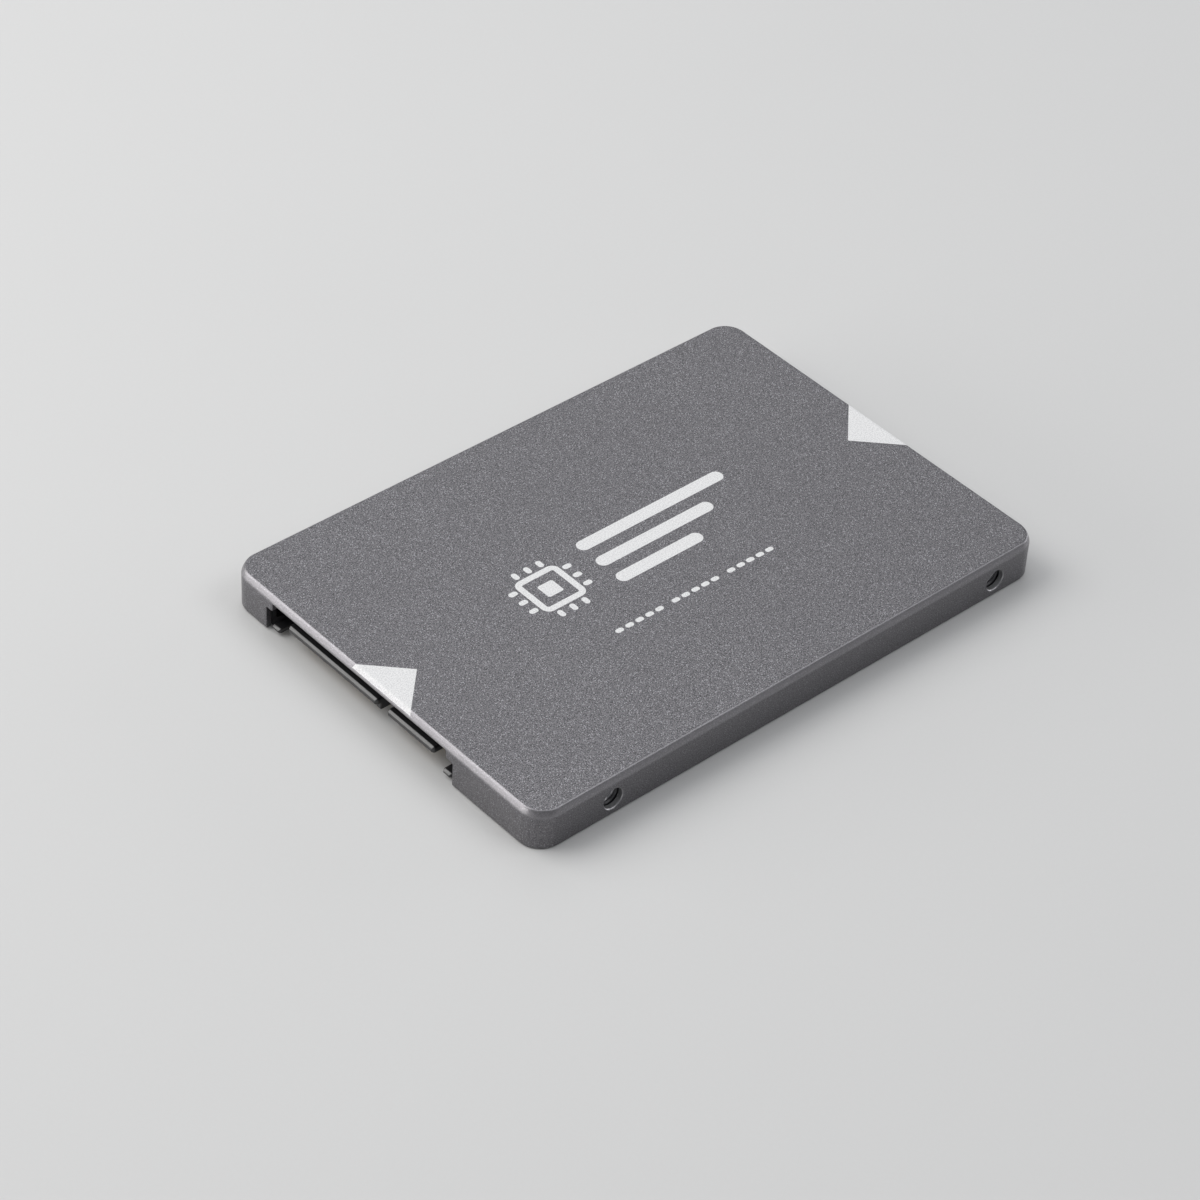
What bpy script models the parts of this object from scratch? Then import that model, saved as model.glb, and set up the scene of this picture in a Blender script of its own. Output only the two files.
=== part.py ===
"""A 2.5-inch solid state drive, 7 mm form factor, as an assembly of separate solids.

The frame: origin at the centre of the underside, +X along the drive away from its
plug, +Y across it with the power contacts on the +Y side, +Z up to the printed cover.
All sizes are in metres; MM turns a figure in millimetres into metres.
"""

import math

import bmesh
import bpy

MM = 0.001

# Outer size of the form factor
LENGTH = 100.0 * MM
WIDTH = 69.85 * MM
HEIGHT = 7.0 * MM
CORNER_RADIUS = 4.0 * MM
CORNER_STEPS = 7

# Cover: one shell with a full-height skirt
SKIRT_WALL = 0.9 * MM
PLATE = 1.0 * MM
EDGE_INSET = 0.6 * MM
EDGE_DROP = 1.2 * MM
EDGE_PROFILE = ((0.0, 1.0), (0.15, 0.72), (0.72, 0.15), (1.0, 0.0))  # shares of inset and drop
SKIRT_BOTTOM = 0.2 * MM
HEM_BEVEL = 0.2 * MM

# Base tray: a floor with a low rim, inside the skirt
RUNNING_GAP = 0.3 * MM
FLOOR = 1.0 * MM
RIM_WALL = 0.8 * MM
RIM_HEIGHT = 2.6 * MM
LUG_LENGTH = 5.0 * MM
LUG_HEIGHT = 0.8 * MM
LUG_PROUD = 0.2 * MM
LUG_CENTRE_Z = 2.0 * MM
LUG_ROOT = 0.4 * MM
POCKET_DEPTH = 0.25 * MM
POCKET_SLACK = 0.3 * MM
LUG_SIDE_X = (-14.0 * MM, 16.0 * MM)
LUG_END_Y = (-16.0 * MM, 16.0 * MM)

# Mounting holes of the form factor, M3, measured from the plug end and the side faces
MOUNT_FROM_PLUG_END = (14.0 * MM, 90.6 * MM)
MOUNT_FROM_SIDE = 4.065 * MM
SIDE_MOUNT_Z = 3.0 * MM
M3_RADIUS = 1.5 * MM
M3_BOTTOM_DEPTH = 4.2 * MM
M3_SIDE_DEPTH = 4.4 * MM
SKIRT_HOLE_RADIUS = 1.75 * MM
BOSS_WIDTH = 7.4 * MM
BOSS_DEPTH = 6.2 * MM
BOSS_HEIGHT = 5.6 * MM

# Circuit board
BOARD_X = (-41.3 * MM, 14.7 * MM)
BOARD_HALF_WIDTH = 27.5 * MM
BOARD_BOTTOM = 2.45 * MM
BOARD_THICKNESS = 1.0 * MM
BOARD_TOP = BOARD_BOTTOM + BOARD_THICKNESS
SEAT_GAP = 0.05 * MM
SCREW_PLACES = tuple((x * MM, y * MM) for x in (-35.5, 11.5) for y in (-24.3, 24.3))
POST_RADIUS = 2.3 * MM
POST_HOLE_RADIUS = 1.05 * MM
BOARD_HOLE_RADIUS = 1.15 * MM
SCREW_SHANK_RADIUS = 0.8 * MM
SCREW_SHANK_LENGTH = 2.3 * MM
SCREW_HEAD_RADIUS = 1.9 * MM
SCREW_HEAD_HEIGHT = 0.7 * MM
SCREW_POINT = 0.3 * MM
SCREW_SLOT_HALF_WIDTH = 0.2 * MM
BOARD_CORNER = 1.0 * MM

# Serial ATA plug: two tongues, a rear body and a guide arm at each end
PLUG_Y = 4.8 * MM
PLUG_FRONT_X = -49.7 * MM
PLUG_BODY_X = (-44.8 * MM, -41.6 * MM)
PLUG_BODY_Z = (1.1 * MM, 5.3 * MM)
PLUG_BODY_HALF = 21.0 * MM
TONGUE_SPAN = 33.39 * MM
SIGNAL_TONGUE = 10.41 * MM
POWER_TONGUE = 20.57 * MM
TONGUE_Z = (2.435 * MM, 3.665 * MM)
TONGUE_TOP_BEVEL = 0.6 * MM
TONGUE_LOW_BEVEL = 0.3 * MM
KEY_WIDTH = 1.1 * MM
KEY_DEPTH = 1.1 * MM
KEY_SETBACK = 0.9 * MM
GUIDE_Z = (0.55 * MM, 1.35 * MM)
GUIDE_OUTER_HALF = 20.565 * MM
GUIDE_WIDTH = 1.75 * MM
GUIDE_BEVEL = 0.45 * MM
CONTACT_PITCH = 1.27 * MM
CONTACT_WIDTH = 0.6 * MM
CONTACT_Z = (2.14 * MM, 2.38 * MM)
CONTACT_FIRST = 1.97 * MM
CONTACT_TAIL_X = -39.4 * MM
CONTACT_TIP_BEVEL = 0.12 * MM
CONTACT_SLOT_GAP = 0.08 * MM
CONTACT_SLOT_REACH = 0.1 * MM
FIRST_MATE = {"signal": (1, 4, 7), "power": (4, 12)}
SECOND_MATE = {"signal": (), "power": (3, 5, 6, 7, 10, 13)}
TIP_SETBACK = (0.5 * MM, 0.8 * MM, 1.1 * MM)

# Tabs that tie the plug's ends to the board
TAB_OFFSET = 19.6 * MM
TAB_WIDTH = 1.8 * MM
TAB_FOOT = 2.6 * MM
TAB_HEIGHT = 1.3 * MM
TAB_THICKNESS = 0.25 * MM
TAB_GAP = 0.1 * MM

# Opening in the skirt round the plug, and the notch in the floor below it
OPENING_Y = (-16.5 * MM, 26.3 * MM)
OPENING_STEP = 1.5 * MM
OPENING_STEP_Z = 4.3 * MM
OPENING_TOP_Z = 5.75 * MM
NOTCH_HALF = 21.6 * MM
NOTCH_END_X = -43.8 * MM

# Rating label, let into the underside so that it stays above the resting plane
LABEL_X = (-36.0 * MM, 42.0 * MM)
LABEL_HALF_WIDTH = 25.0 * MM
LABEL_Z = (0.1 * MM, 0.3 * MM)
LABEL_RECESS = 0.35 * MM
LABEL_GAP = 0.3 * MM
LABEL_CORNER = 2.0 * MM

# Packages on the board's upper face: node, centre x, centre y, size x, size y, height (mm)
PACKAGES = (
    ("controller_package", -27.0, 3.0, 14.0, 14.0, 1.2, "chip"),
    ("nand_package_1", -9.5, -10.5, 14.0, 18.0, 1.2, "chip"),
    ("nand_package_2", -9.5, 10.5, 14.0, 18.0, 1.2, "chip"),
    ("nand_package_3", 6.0, -10.5, 14.0, 18.0, 1.2, "chip"),
    ("nand_package_4", 6.0, 10.5, 14.0, 18.0, 1.2, "chip"),
    ("power_inductor_1", -33.5, -11.0, 4.0, 4.0, 1.8, "ferrite"),
    ("power_inductor_2", -33.5, -17.0, 4.0, 4.0, 1.8, "ferrite"),
    ("regulator_chip", -26.5, -14.0, 4.0, 4.0, 0.9, "chip"),
    ("clock_crystal", -22.0, -8.5, 3.2, 2.5, 0.8, "steel"),
    ("hold_up_capacitor_1", -27.0, 13.6, 3.4, 1.8, 1.5, "tantalum"),
    ("hold_up_capacitor_2", -27.0, 16.6, 3.4, 1.8, 1.5, "tantalum"),
    ("hold_up_capacitor_3", -27.0, 19.6, 3.4, 1.8, 1.5, "tantalum"),
    ("hold_up_capacitor_4", -21.5, 13.6, 3.4, 1.8, 1.5, "tantalum"),
    ("hold_up_capacitor_5", -21.5, 16.6, 3.4, 1.8, 1.5, "tantalum"),
    ("hold_up_capacitor_6", -21.5, 19.6, 3.4, 1.8, 1.5, "tantalum"),
)
PACKAGE_BEVEL = 0.12 * MM
THERMAL_PAD_SIDE = 13.0 * MM
THERMAL_PAD_TOP = 5.9 * MM
THERMAL_PAD_CORNER = 0.5 * MM

# Colour, roughness and metallic value of each finish
FINISHES = {
    "grey_shell": ((0.115, 0.115, 0.122, 1), 0.5, 0.6),
    "dark_tray": ((0.05, 0.05, 0.055, 1), 0.5, 0.7),
    "board": ((0.01, 0.05, 0.03, 1), 0.45, 0.0),
    "plug_plastic": ((0.012, 0.012, 0.013, 1), 0.45, 0.0),
    "gold": ((0.75, 0.5, 0.18, 1), 0.25, 1.0),
    "chip": ((0.015, 0.015, 0.016, 1), 0.6, 0.0),
    "ferrite": ((0.06, 0.06, 0.065, 1), 0.7, 0.0),
    "tantalum": ((0.55, 0.36, 0.08, 1), 0.5, 0.0),
    "steel": ((0.55, 0.55, 0.56, 1), 0.3, 1.0),
    "pad": ((0.28, 0.36, 0.45, 1), 0.8, 0.0),
    "label": ((0.75, 0.75, 0.74, 1), 0.6, 0.0),
}

HALF_LENGTH = LENGTH / 2
HALF_WIDTH = WIDTH / 2
TRAY_INSET = SKIRT_WALL + RUNNING_GAP
OVER = 1.0 * MM  # how far a cutter runs past the face it opens
JOIN = 0.5 * MM  # how far a joined shape runs into the body it grows from


def clear_scene():
    for obj in list(bpy.data.objects):
        bpy.data.objects.remove(obj, do_unlink=True)


def make_finishes():
    made = {}
    for name, (colour, roughness, metallic) in FINISHES.items():
        material = bpy.data.materials.new(name)
        material.use_nodes = True
        shader = material.node_tree.nodes["Principled BSDF"]
        shader.inputs["Base Color"].default_value = colour
        shader.inputs["Roughness"].default_value = roughness
        shader.inputs["Metallic"].default_value = metallic
        made[name] = material
    return made


def add_object(name, bm, origin, finish, smooth=False):
    """Links the bmesh, whose points are in the drive's frame, as an object at origin."""
    bmesh.ops.recalc_face_normals(bm, faces=bm.faces)
    bmesh.ops.translate(bm, verts=bm.verts, vec=[-c for c in origin])
    mesh = bpy.data.meshes.new(name)
    bm.to_mesh(mesh)
    bm.free()
    if smooth:
        mesh.shade_smooth()
        mesh.set_sharp_from_angle(angle=math.radians(30))
    obj = bpy.data.objects.new(name, mesh)
    obj.location = origin
    if finish is not None:
        obj.data.materials.append(finish)
    bpy.context.scene.collection.objects.link(obj)
    return obj


def rounded_rectangle(x_range, y_range, radius, steps=CORNER_STEPS):
    """Points round a rectangle with round corners, anticlockwise."""
    points = []
    corners = (
        (x_range[1] - radius, y_range[1] - radius, 0),
        (x_range[0] + radius, y_range[1] - radius, 90),
        (x_range[0] + radius, y_range[0] + radius, 180),
        (x_range[1] - radius, y_range[0] + radius, 270),
    )
    for cx, cy, start in corners:
        for step in range(steps):
            angle = math.radians(start + 90 * step / (steps - 1))
            points.append((cx + radius * math.cos(angle), cy + radius * math.sin(angle)))
    return points


def case_outline(inset):
    """The drive's plan outline, moved inwards by inset."""
    return rounded_rectangle(
        (-HALF_LENGTH + inset, HALF_LENGTH - inset),
        (-HALF_WIDTH + inset, HALF_WIDTH - inset),
        CORNER_RADIUS - inset,
    )


def circle(cx, cy, radius, sides=24):
    turn = 2 * math.pi / sides
    return [(cx + radius * math.cos(i * turn), cy + radius * math.sin(i * turn)) for i in range(sides)]


def loft(rings):
    """A closed bmesh through rings of equal point counts, each (outline, z)."""
    bm = bmesh.new()
    loops = [[bm.verts.new((x, y, z)) for x, y in outline] for outline, z in rings]
    count = len(loops[0])
    for low, high in zip(loops, loops[1:]):
        for i in range(count):
            j = (i + 1) % count
            bm.faces.new((low[i], low[j], high[j], high[i]))
    bm.faces.new(loops[-1])
    bm.faces.new(reversed(loops[0]))
    return bm


def prism(outline, z_range):
    return loft([(outline, z_range[0]), (outline, z_range[1])])


def box(x_range, y_range, z_range):
    outline = [(x_range[i], y_range[j]) for i, j in ((0, 0), (1, 0), (1, 1), (0, 1))]
    return prism(outline, z_range)


def profile_along_y(points, y_range):
    """A prism of an outline in the X-Z plane, extruded from one y to another."""
    bm = bmesh.new()
    near = [bm.verts.new((x, y_range[0], z)) for x, z in points]
    far = [bm.verts.new((x, y_range[1], z)) for x, z in points]
    count = len(points)
    for i in range(count):
        j = (i + 1) % count
        bm.faces.new((near[i], near[j], far[j], far[i]))
    bm.faces.new(far)
    bm.faces.new(reversed(near))
    return bm


def centre_of(x_range, y_range, z_range):
    return tuple(sum(r) / 2 for r in (x_range, y_range, z_range))


def add_cutter(name, bm):
    """A helper that only cuts: it is never rendered."""
    cutter = add_object(name, bm, (0, 0, 0), None)
    cutter.hide_render = True
    cutter.display_type = "WIRE"
    return cutter


def apply_boolean(obj, name, bm, operation="DIFFERENCE"):
    modifier = obj.modifiers.new(name, "BOOLEAN")
    modifier.operation = operation
    modifier.object = add_cutter(f"{obj.name}_{name}", bm)


def side_hole(x, side, radius, y_from, y_to):
    """A round bar across the side wall at a mounting place, side +1 or -1 in Y."""
    ring = circle(x, SIDE_MOUNT_Z, radius)
    return profile_along_y(ring, sorted((side * y_from, side * y_to)))


def mount_places():
    """The four mounting places as (number, x, side)."""
    xs = [-HALF_LENGTH + d for d in MOUNT_FROM_PLUG_END]
    return [(2 * i + j + 1, x, side) for i, x in enumerate(xs) for j, side in enumerate((-1, 1))]


def make_cover(finish):
    rings = [
        (case_outline(HEM_BEVEL), SKIRT_BOTTOM),
        (case_outline(0), SKIRT_BOTTOM + HEM_BEVEL),
    ]
    rings += [(case_outline(a * EDGE_INSET), HEIGHT - b * EDGE_DROP) for a, b in EDGE_PROFILE]
    cover = add_object("top_cover", loft(rings), (0, 0, 0), finish, smooth=True)
    apply_boolean(cover, "cavity", prism(case_outline(SKIRT_WALL), (-OVER, HEIGHT - PLATE)))
    wall_x = (-HALF_LENGTH - OVER, -HALF_LENGTH + 1.2 * SKIRT_WALL)
    upper_y = (OPENING_Y[0] + OPENING_STEP, OPENING_Y[1] - OPENING_STEP)
    apply_boolean(cover, "opening", box(wall_x, OPENING_Y, (-OVER, OPENING_STEP_Z)))
    apply_boolean(cover, "opening_top", box(wall_x, upper_y, (0, OPENING_TOP_Z)))
    for number, x, side in mount_places():
        hole = side_hole(x, side, SKIRT_HOLE_RADIUS, HALF_WIDTH - 2 * SKIRT_WALL, HALF_WIDTH + OVER)
        apply_boolean(cover, f"side_hole_{number}", hole)
    for number, ranges in enumerate(lug_boxes(RUNNING_GAP + POCKET_DEPTH, POCKET_SLACK), start=1):
        apply_boolean(cover, f"pocket_{number}", box(*ranges))
    return cover


def lug_boxes(proud, slack):
    """Boxes that stand proud of the tray's rim at the snap lugs, with slack all round."""
    half = LUG_LENGTH / 2 + slack
    z_range = (LUG_CENTRE_Z - LUG_HEIGHT / 2 - slack, LUG_CENTRE_Z + LUG_HEIGHT / 2 + slack)
    side_face, end_face = HALF_WIDTH - TRAY_INSET, HALF_LENGTH - TRAY_INSET
    boxes = []
    for side in (-1, 1):
        y_range = sorted((side * (side_face - LUG_ROOT), side * (side_face + proud)))
        boxes += [((x - half, x + half), y_range, z_range) for x in LUG_SIDE_X]
    boxes += [((end_face - LUG_ROOT, end_face + proud), (y - half, y + half), z_range) for y in LUG_END_Y]
    return boxes


def make_tray(finish):
    outline = case_outline(TRAY_INSET)
    small = case_outline(TRAY_INSET + HEM_BEVEL)
    shell = loft([(small, 0), (outline, HEM_BEVEL), (outline, RIM_HEIGHT)])
    tray = add_object("base_tray", shell, (0, 0, 0), finish, smooth=True)
    apply_boolean(tray, "inside", prism(case_outline(TRAY_INSET + RIM_WALL), (FLOOR, RIM_HEIGHT + OVER)))
    for number, x, side in mount_places():
        face = HALF_WIDTH - TRAY_INSET
        y_range = sorted((side * (face - BOSS_DEPTH), side * face))
        block = box((x - BOSS_WIDTH / 2, x + BOSS_WIDTH / 2), y_range, (FLOOR - JOIN, BOSS_HEIGHT))
        apply_boolean(tray, f"boss_{number}", block, "UNION")
    for number, (x, y) in enumerate(SCREW_PLACES, start=1):
        post = prism(circle(x, y, POST_RADIUS), (FLOOR - JOIN, BOARD_BOTTOM - 2 * SEAT_GAP))
        apply_boolean(tray, f"post_{number}", post, "UNION")
    for number, ranges in enumerate(lug_boxes(LUG_PROUD, 0), start=1):
        apply_boolean(tray, f"lug_{number}", box(*ranges), "UNION")
    for number, x, side in mount_places():
        y = side * (HALF_WIDTH - MOUNT_FROM_SIDE)
        apply_boolean(tray, f"bottom_m3_{number}", prism(circle(x, y, M3_RADIUS), (-OVER, M3_BOTTOM_DEPTH)))
        bore = side_hole(x, side, M3_RADIUS, HALF_WIDTH - M3_SIDE_DEPTH, HALF_WIDTH + OVER)
        apply_boolean(tray, f"side_m3_{number}", bore)
    for number, (x, y) in enumerate(SCREW_PLACES, start=1):
        hole = prism(circle(x, y, POST_HOLE_RADIUS, 16), (FLOOR, BOARD_BOTTOM + OVER))
        apply_boolean(tray, f"post_hole_{number}", hole)
    notch = box(
        (-HALF_LENGTH - OVER, NOTCH_END_X), (PLUG_Y - NOTCH_HALF, PLUG_Y + NOTCH_HALF), (-OVER, HEIGHT)
    )
    apply_boolean(tray, "plug_notch", notch)
    recess_x = (LABEL_X[0] - LABEL_GAP, LABEL_X[1] + LABEL_GAP)
    recess_y = (-LABEL_HALF_WIDTH - LABEL_GAP, LABEL_HALF_WIDTH + LABEL_GAP)
    recess = prism(rounded_rectangle(recess_x, recess_y, LABEL_CORNER + LABEL_GAP, 5), (-OVER, LABEL_RECESS))
    apply_boolean(tray, "label_recess", recess)
    return tray


def make_label(finish):
    y_range = (-LABEL_HALF_WIDTH, LABEL_HALF_WIDTH)
    outline = rounded_rectangle(LABEL_X, y_range, LABEL_CORNER, 5)
    return add_object("rating_label", prism(outline, LABEL_Z), centre_of(LABEL_X, y_range, LABEL_Z), finish)


def make_board(finish):
    y_range = (-BOARD_HALF_WIDTH, BOARD_HALF_WIDTH)
    z_range = (BOARD_BOTTOM, BOARD_TOP)
    outline = rounded_rectangle(BOARD_X, y_range, BOARD_CORNER, 4)
    board = add_object("circuit_board", prism(outline, z_range), centre_of(BOARD_X, y_range, z_range), finish)
    for number, (x, y) in enumerate(SCREW_PLACES, start=1):
        hole = prism(circle(x, y, BOARD_HOLE_RADIUS, 20), (BOARD_BOTTOM - OVER, BOARD_TOP + OVER))
        apply_boolean(board, f"screw_hole_{number}", hole)
    return board


def make_screw(name, x, y, finish):
    """A low pan-head screw: shank, head with a domed edge, and a cross recess."""
    seat = BOARD_TOP + SEAT_GAP
    point = seat - SCREW_SHANK_LENGTH
    profile = (
        (0.7 * SCREW_SHANK_RADIUS, point),
        (SCREW_SHANK_RADIUS, point + SCREW_POINT),
        (SCREW_SHANK_RADIUS, seat),
        (SCREW_HEAD_RADIUS, seat),
        (SCREW_HEAD_RADIUS, seat + 0.5 * SCREW_HEAD_HEIGHT),
        (0.75 * SCREW_HEAD_RADIUS, seat + SCREW_HEAD_HEIGHT),
    )
    rings = [(circle(x, y, radius, 16), z) for radius, z in profile]
    screw = add_object(name, loft(rings), (x, y, seat), finish, smooth=True)
    slot_half = 0.55 * SCREW_HEAD_RADIUS
    slot_sizes = ((slot_half, SCREW_SLOT_HALF_WIDTH), (SCREW_SLOT_HALF_WIDTH, slot_half))
    recess = (seat + 0.3 * SCREW_HEAD_HEIGHT, seat + SCREW_HEAD_HEIGHT + OVER)
    for label, (half_x, half_y) in zip("xy", slot_sizes):
        slot = box((x - half_x, x + half_x), (y - half_y, y + half_y), recess)
        apply_boolean(screw, f"slot_{label}", slot)
    return screw


def make_package(name, cx, cy, size_x, size_y, height, finish):
    """A moulded package with a small bevel round its upper edge."""
    base = BOARD_TOP + SEAT_GAP
    half_x, half_y = size_x / 2, size_y / 2
    rings = []
    for inset, z in ((0, base), (0, base + height - PACKAGE_BEVEL), (PACKAGE_BEVEL, base + height)):
        x0, x1 = cx - half_x + inset, cx + half_x - inset
        y0, y1 = cy - half_y + inset, cy + half_y - inset
        rings.append(([(x0, y0), (x1, y0), (x1, y1), (x0, y1)], z))
    return add_object(name, loft(rings), (cx, cy, base), finish)


def make_thermal_pad(finish):
    name, cx, cy, _, _, height, _ = PACKAGES[0]
    half = THERMAL_PAD_SIDE / 2
    cx, cy = cx * MM, cy * MM
    z_range = (BOARD_TOP + 2 * SEAT_GAP + height * MM, THERMAL_PAD_TOP)
    x_range, y_range = (cx - half, cx + half), (cy - half, cy + half)
    outline = rounded_rectangle(x_range, y_range, THERMAL_PAD_CORNER, 3)
    return add_object("thermal_pad", prism(outline, z_range), centre_of(x_range, y_range, z_range), finish)


def tongue_ranges():
    """The y range of each tongue: the signal tongue lies towards -Y."""
    low, high = PLUG_Y - TONGUE_SPAN / 2, PLUG_Y + TONGUE_SPAN / 2
    return {"signal": (low, low + SIGNAL_TONGUE), "power": (high - POWER_TONGUE, high)}


def make_plug_housing(finish):
    body_y = (PLUG_Y - PLUG_BODY_HALF, PLUG_Y + PLUG_BODY_HALF)
    origin = centre_of(PLUG_BODY_X, body_y, PLUG_BODY_Z)
    housing = add_object("plug_housing", box(PLUG_BODY_X, body_y, PLUG_BODY_Z), origin, finish)
    root_x = PLUG_BODY_X[0] + JOIN
    low, high = TONGUE_Z
    for name, y_range in tongue_ranges().items():
        tongue = (
            (PLUG_FRONT_X, low + TONGUE_LOW_BEVEL),
            (PLUG_FRONT_X + TONGUE_LOW_BEVEL, low),
            (root_x, low),
            (root_x, high),
            (PLUG_FRONT_X + TONGUE_TOP_BEVEL, high),
            (PLUG_FRONT_X, high - TONGUE_TOP_BEVEL),
        )
        apply_boolean(housing, f"{name}_tongue", profile_along_y(tongue, y_range), "UNION")
        gap_side = y_range[1] if name == "signal" else y_range[0]
        away = -KEY_WIDTH if name == "signal" else KEY_WIDTH
        key_y = sorted((gap_side, gap_side + away))
        key = box((PLUG_FRONT_X + KEY_SETBACK, root_x), key_y, (low - KEY_DEPTH, (low + high) / 2))
        apply_boolean(housing, f"{name}_key", key, "UNION")
    for name, side in (("low", -1), ("high", 1)):
        outer = PLUG_Y + side * GUIDE_OUTER_HALF
        arm_y = sorted((outer, outer - side * GUIDE_WIDTH))
        arm = (
            (PLUG_FRONT_X, GUIDE_Z[0]),
            (root_x, GUIDE_Z[0]),
            (root_x, GUIDE_Z[1]),
            (PLUG_FRONT_X + GUIDE_BEVEL, GUIDE_Z[1]),
            (PLUG_FRONT_X, GUIDE_Z[1] - GUIDE_BEVEL),
        )
        apply_boolean(housing, f"{name}_guide", profile_along_y(arm, arm_y), "UNION")
    for name, ys in contact_rows().items():
        slot_y = (min(ys) - CONTACT_WIDTH, max(ys) + CONTACT_WIDTH)
        slot_x = (PLUG_BODY_X[0] - CONTACT_SLOT_REACH, PLUG_BODY_X[1] + OVER)
        slot_z = (CONTACT_Z[0] - CONTACT_SLOT_GAP, TONGUE_Z[0])
        apply_boolean(housing, f"{name}_slot", box(slot_x, slot_y, slot_z))
    return housing


def contact_rows():
    """Contact centres in y, number 1 first: S1 and P15 are the outermost."""
    ranges = tongue_ranges()
    signal = [ranges["signal"][1] - CONTACT_FIRST - CONTACT_PITCH * (7 - n) for n in range(1, 8)]
    power = [ranges["power"][0] + CONTACT_FIRST + CONTACT_PITCH * (n - 1) for n in range(1, 16)]
    return {"signal": signal, "power": power}


def make_contact(name, y, setback, finish):
    """A flat blade under a tongue that runs back through the housing to the board."""
    tip, tail = PLUG_FRONT_X + setback, CONTACT_TAIL_X
    low, high = CONTACT_Z
    blade = (
        (tip, high),
        (tip, high - CONTACT_TIP_BEVEL),
        (tip + CONTACT_TIP_BEVEL, low),
        (tail, low),
        (tail, high),
    )
    y_range = (y - CONTACT_WIDTH / 2, y + CONTACT_WIDTH / 2)
    origin = centre_of((tip, tail), y_range, CONTACT_Z)
    return add_object(name, profile_along_y(blade, y_range), origin, finish)


def make_contacts(finish):
    for row, ys in contact_rows().items():
        for number, y in enumerate(ys, start=1):
            order = 0 if number in FIRST_MATE[row] else 1 if number in SECOND_MATE[row] else 2
            make_contact(f"{row}_contact_{number}", y, TIP_SETBACK[order], finish)


def make_plug_tab(name, side, finish):
    """An L-shaped tab that ties one end of the plug to the board."""
    back = PLUG_BODY_X[1] + TAB_GAP
    seat = BOARD_TOP + SEAT_GAP
    profile = (
        (back, seat),
        (back + TAB_FOOT, seat),
        (back + TAB_FOOT, seat + TAB_THICKNESS),
        (back + TAB_THICKNESS, seat + TAB_THICKNESS),
        (back + TAB_THICKNESS, seat + TAB_HEIGHT),
        (back, seat + TAB_HEIGHT),
    )
    y = PLUG_Y + side * TAB_OFFSET
    y_range = (y - TAB_WIDTH / 2, y + TAB_WIDTH / 2)
    return add_object(name, profile_along_y(profile, y_range), (back, y, seat), finish)


def main():
    clear_scene()
    finishes = make_finishes()
    make_tray(finishes["dark_tray"])
    make_label(finishes["label"])
    make_board(finishes["board"])
    for number, (x, y) in enumerate(SCREW_PLACES, start=1):
        make_screw(f"board_screw_{number}", x, y, finishes["steel"])
    for name, cx, cy, size_x, size_y, height, finish in PACKAGES:
        sizes = [v * MM for v in (cx, cy, size_x, size_y, height)]
        make_package(name, *sizes, finishes[finish])
    make_thermal_pad(finishes["pad"])
    make_plug_housing(finishes["plug_plastic"])
    make_contacts(finishes["gold"])
    for number, side in enumerate((-1, 1), start=1):
        make_plug_tab(f"plug_tab_{number}", side, finishes["steel"])
    make_cover(finishes["grey_shell"])


main()
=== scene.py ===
import math

import bpy
import numpy as np
from mathutils import Matrix, Vector


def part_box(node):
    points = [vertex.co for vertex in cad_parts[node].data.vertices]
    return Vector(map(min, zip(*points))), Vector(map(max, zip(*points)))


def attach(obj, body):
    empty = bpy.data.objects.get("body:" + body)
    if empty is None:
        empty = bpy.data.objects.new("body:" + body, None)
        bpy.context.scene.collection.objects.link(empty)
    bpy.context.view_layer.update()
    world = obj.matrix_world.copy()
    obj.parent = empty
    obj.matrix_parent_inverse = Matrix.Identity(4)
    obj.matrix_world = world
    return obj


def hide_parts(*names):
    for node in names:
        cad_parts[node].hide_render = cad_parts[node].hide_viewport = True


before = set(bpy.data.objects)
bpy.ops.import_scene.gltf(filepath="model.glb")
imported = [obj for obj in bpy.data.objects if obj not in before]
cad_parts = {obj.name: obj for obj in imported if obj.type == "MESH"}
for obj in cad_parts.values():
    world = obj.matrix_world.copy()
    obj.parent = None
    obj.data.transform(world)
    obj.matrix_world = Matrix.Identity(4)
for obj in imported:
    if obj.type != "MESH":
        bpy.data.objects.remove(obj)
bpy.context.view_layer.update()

mm = 0.001


def boxOf(node):
    # the low and the high corner of a node's box
    return [np.array(corner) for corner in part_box(node)]


caseLow, caseHigh = boxOf("top_cover")
boardLow, boardHigh = boxOf("circuit_board")
plugLow, plugHigh = boxOf("plug_housing")
labelLow, labelHigh = boxOf("rating_label")
topFace, boardFace = caseHigh[2], boardHigh[2]
plugMiddle = (plugLow[1] + plugHigh[1]) / 2
wallFoot, wallHead = caseLow[:2], caseHigh[:2]
trayInset = 1.2 * mm  # from the cover's outer face in to the tray's wall
trayFoot, trayHead = wallFoot + trayInset, wallHead - trayInset


# forms: a form is (points, faces), worked out as whole arrays

def softened(corners, cut, steps=5, closed=True):
    # each corner b gives way to (1-t)^2 a + 2t(1-t) b + t^2 c, with a and c a cut away along its two sides
    corners = np.array(corners, float)
    cut = np.broadcast_to(cut, len(corners))[:, None]
    before = np.roll(corners, 1, axis=0) - corners
    after = np.roll(corners, -1, axis=0) - corners
    first = corners + cut * before / np.linalg.norm(before, axis=1, keepdims=True)
    last = corners + cut * after / np.linalg.norm(after, axis=1, keepdims=True)
    t = np.linspace(0, 1, steps)[None, :, None]
    curve = (1 - t) ** 2 * first[:, None] + 2 * t * (1 - t) * corners[:, None] + t ** 2 * last[:, None]
    if closed:
        return curve.reshape(-1, 2)
    return np.concatenate([corners[:1], curve[1:-1].reshape(-1, 2), corners[-1:]])


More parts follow.
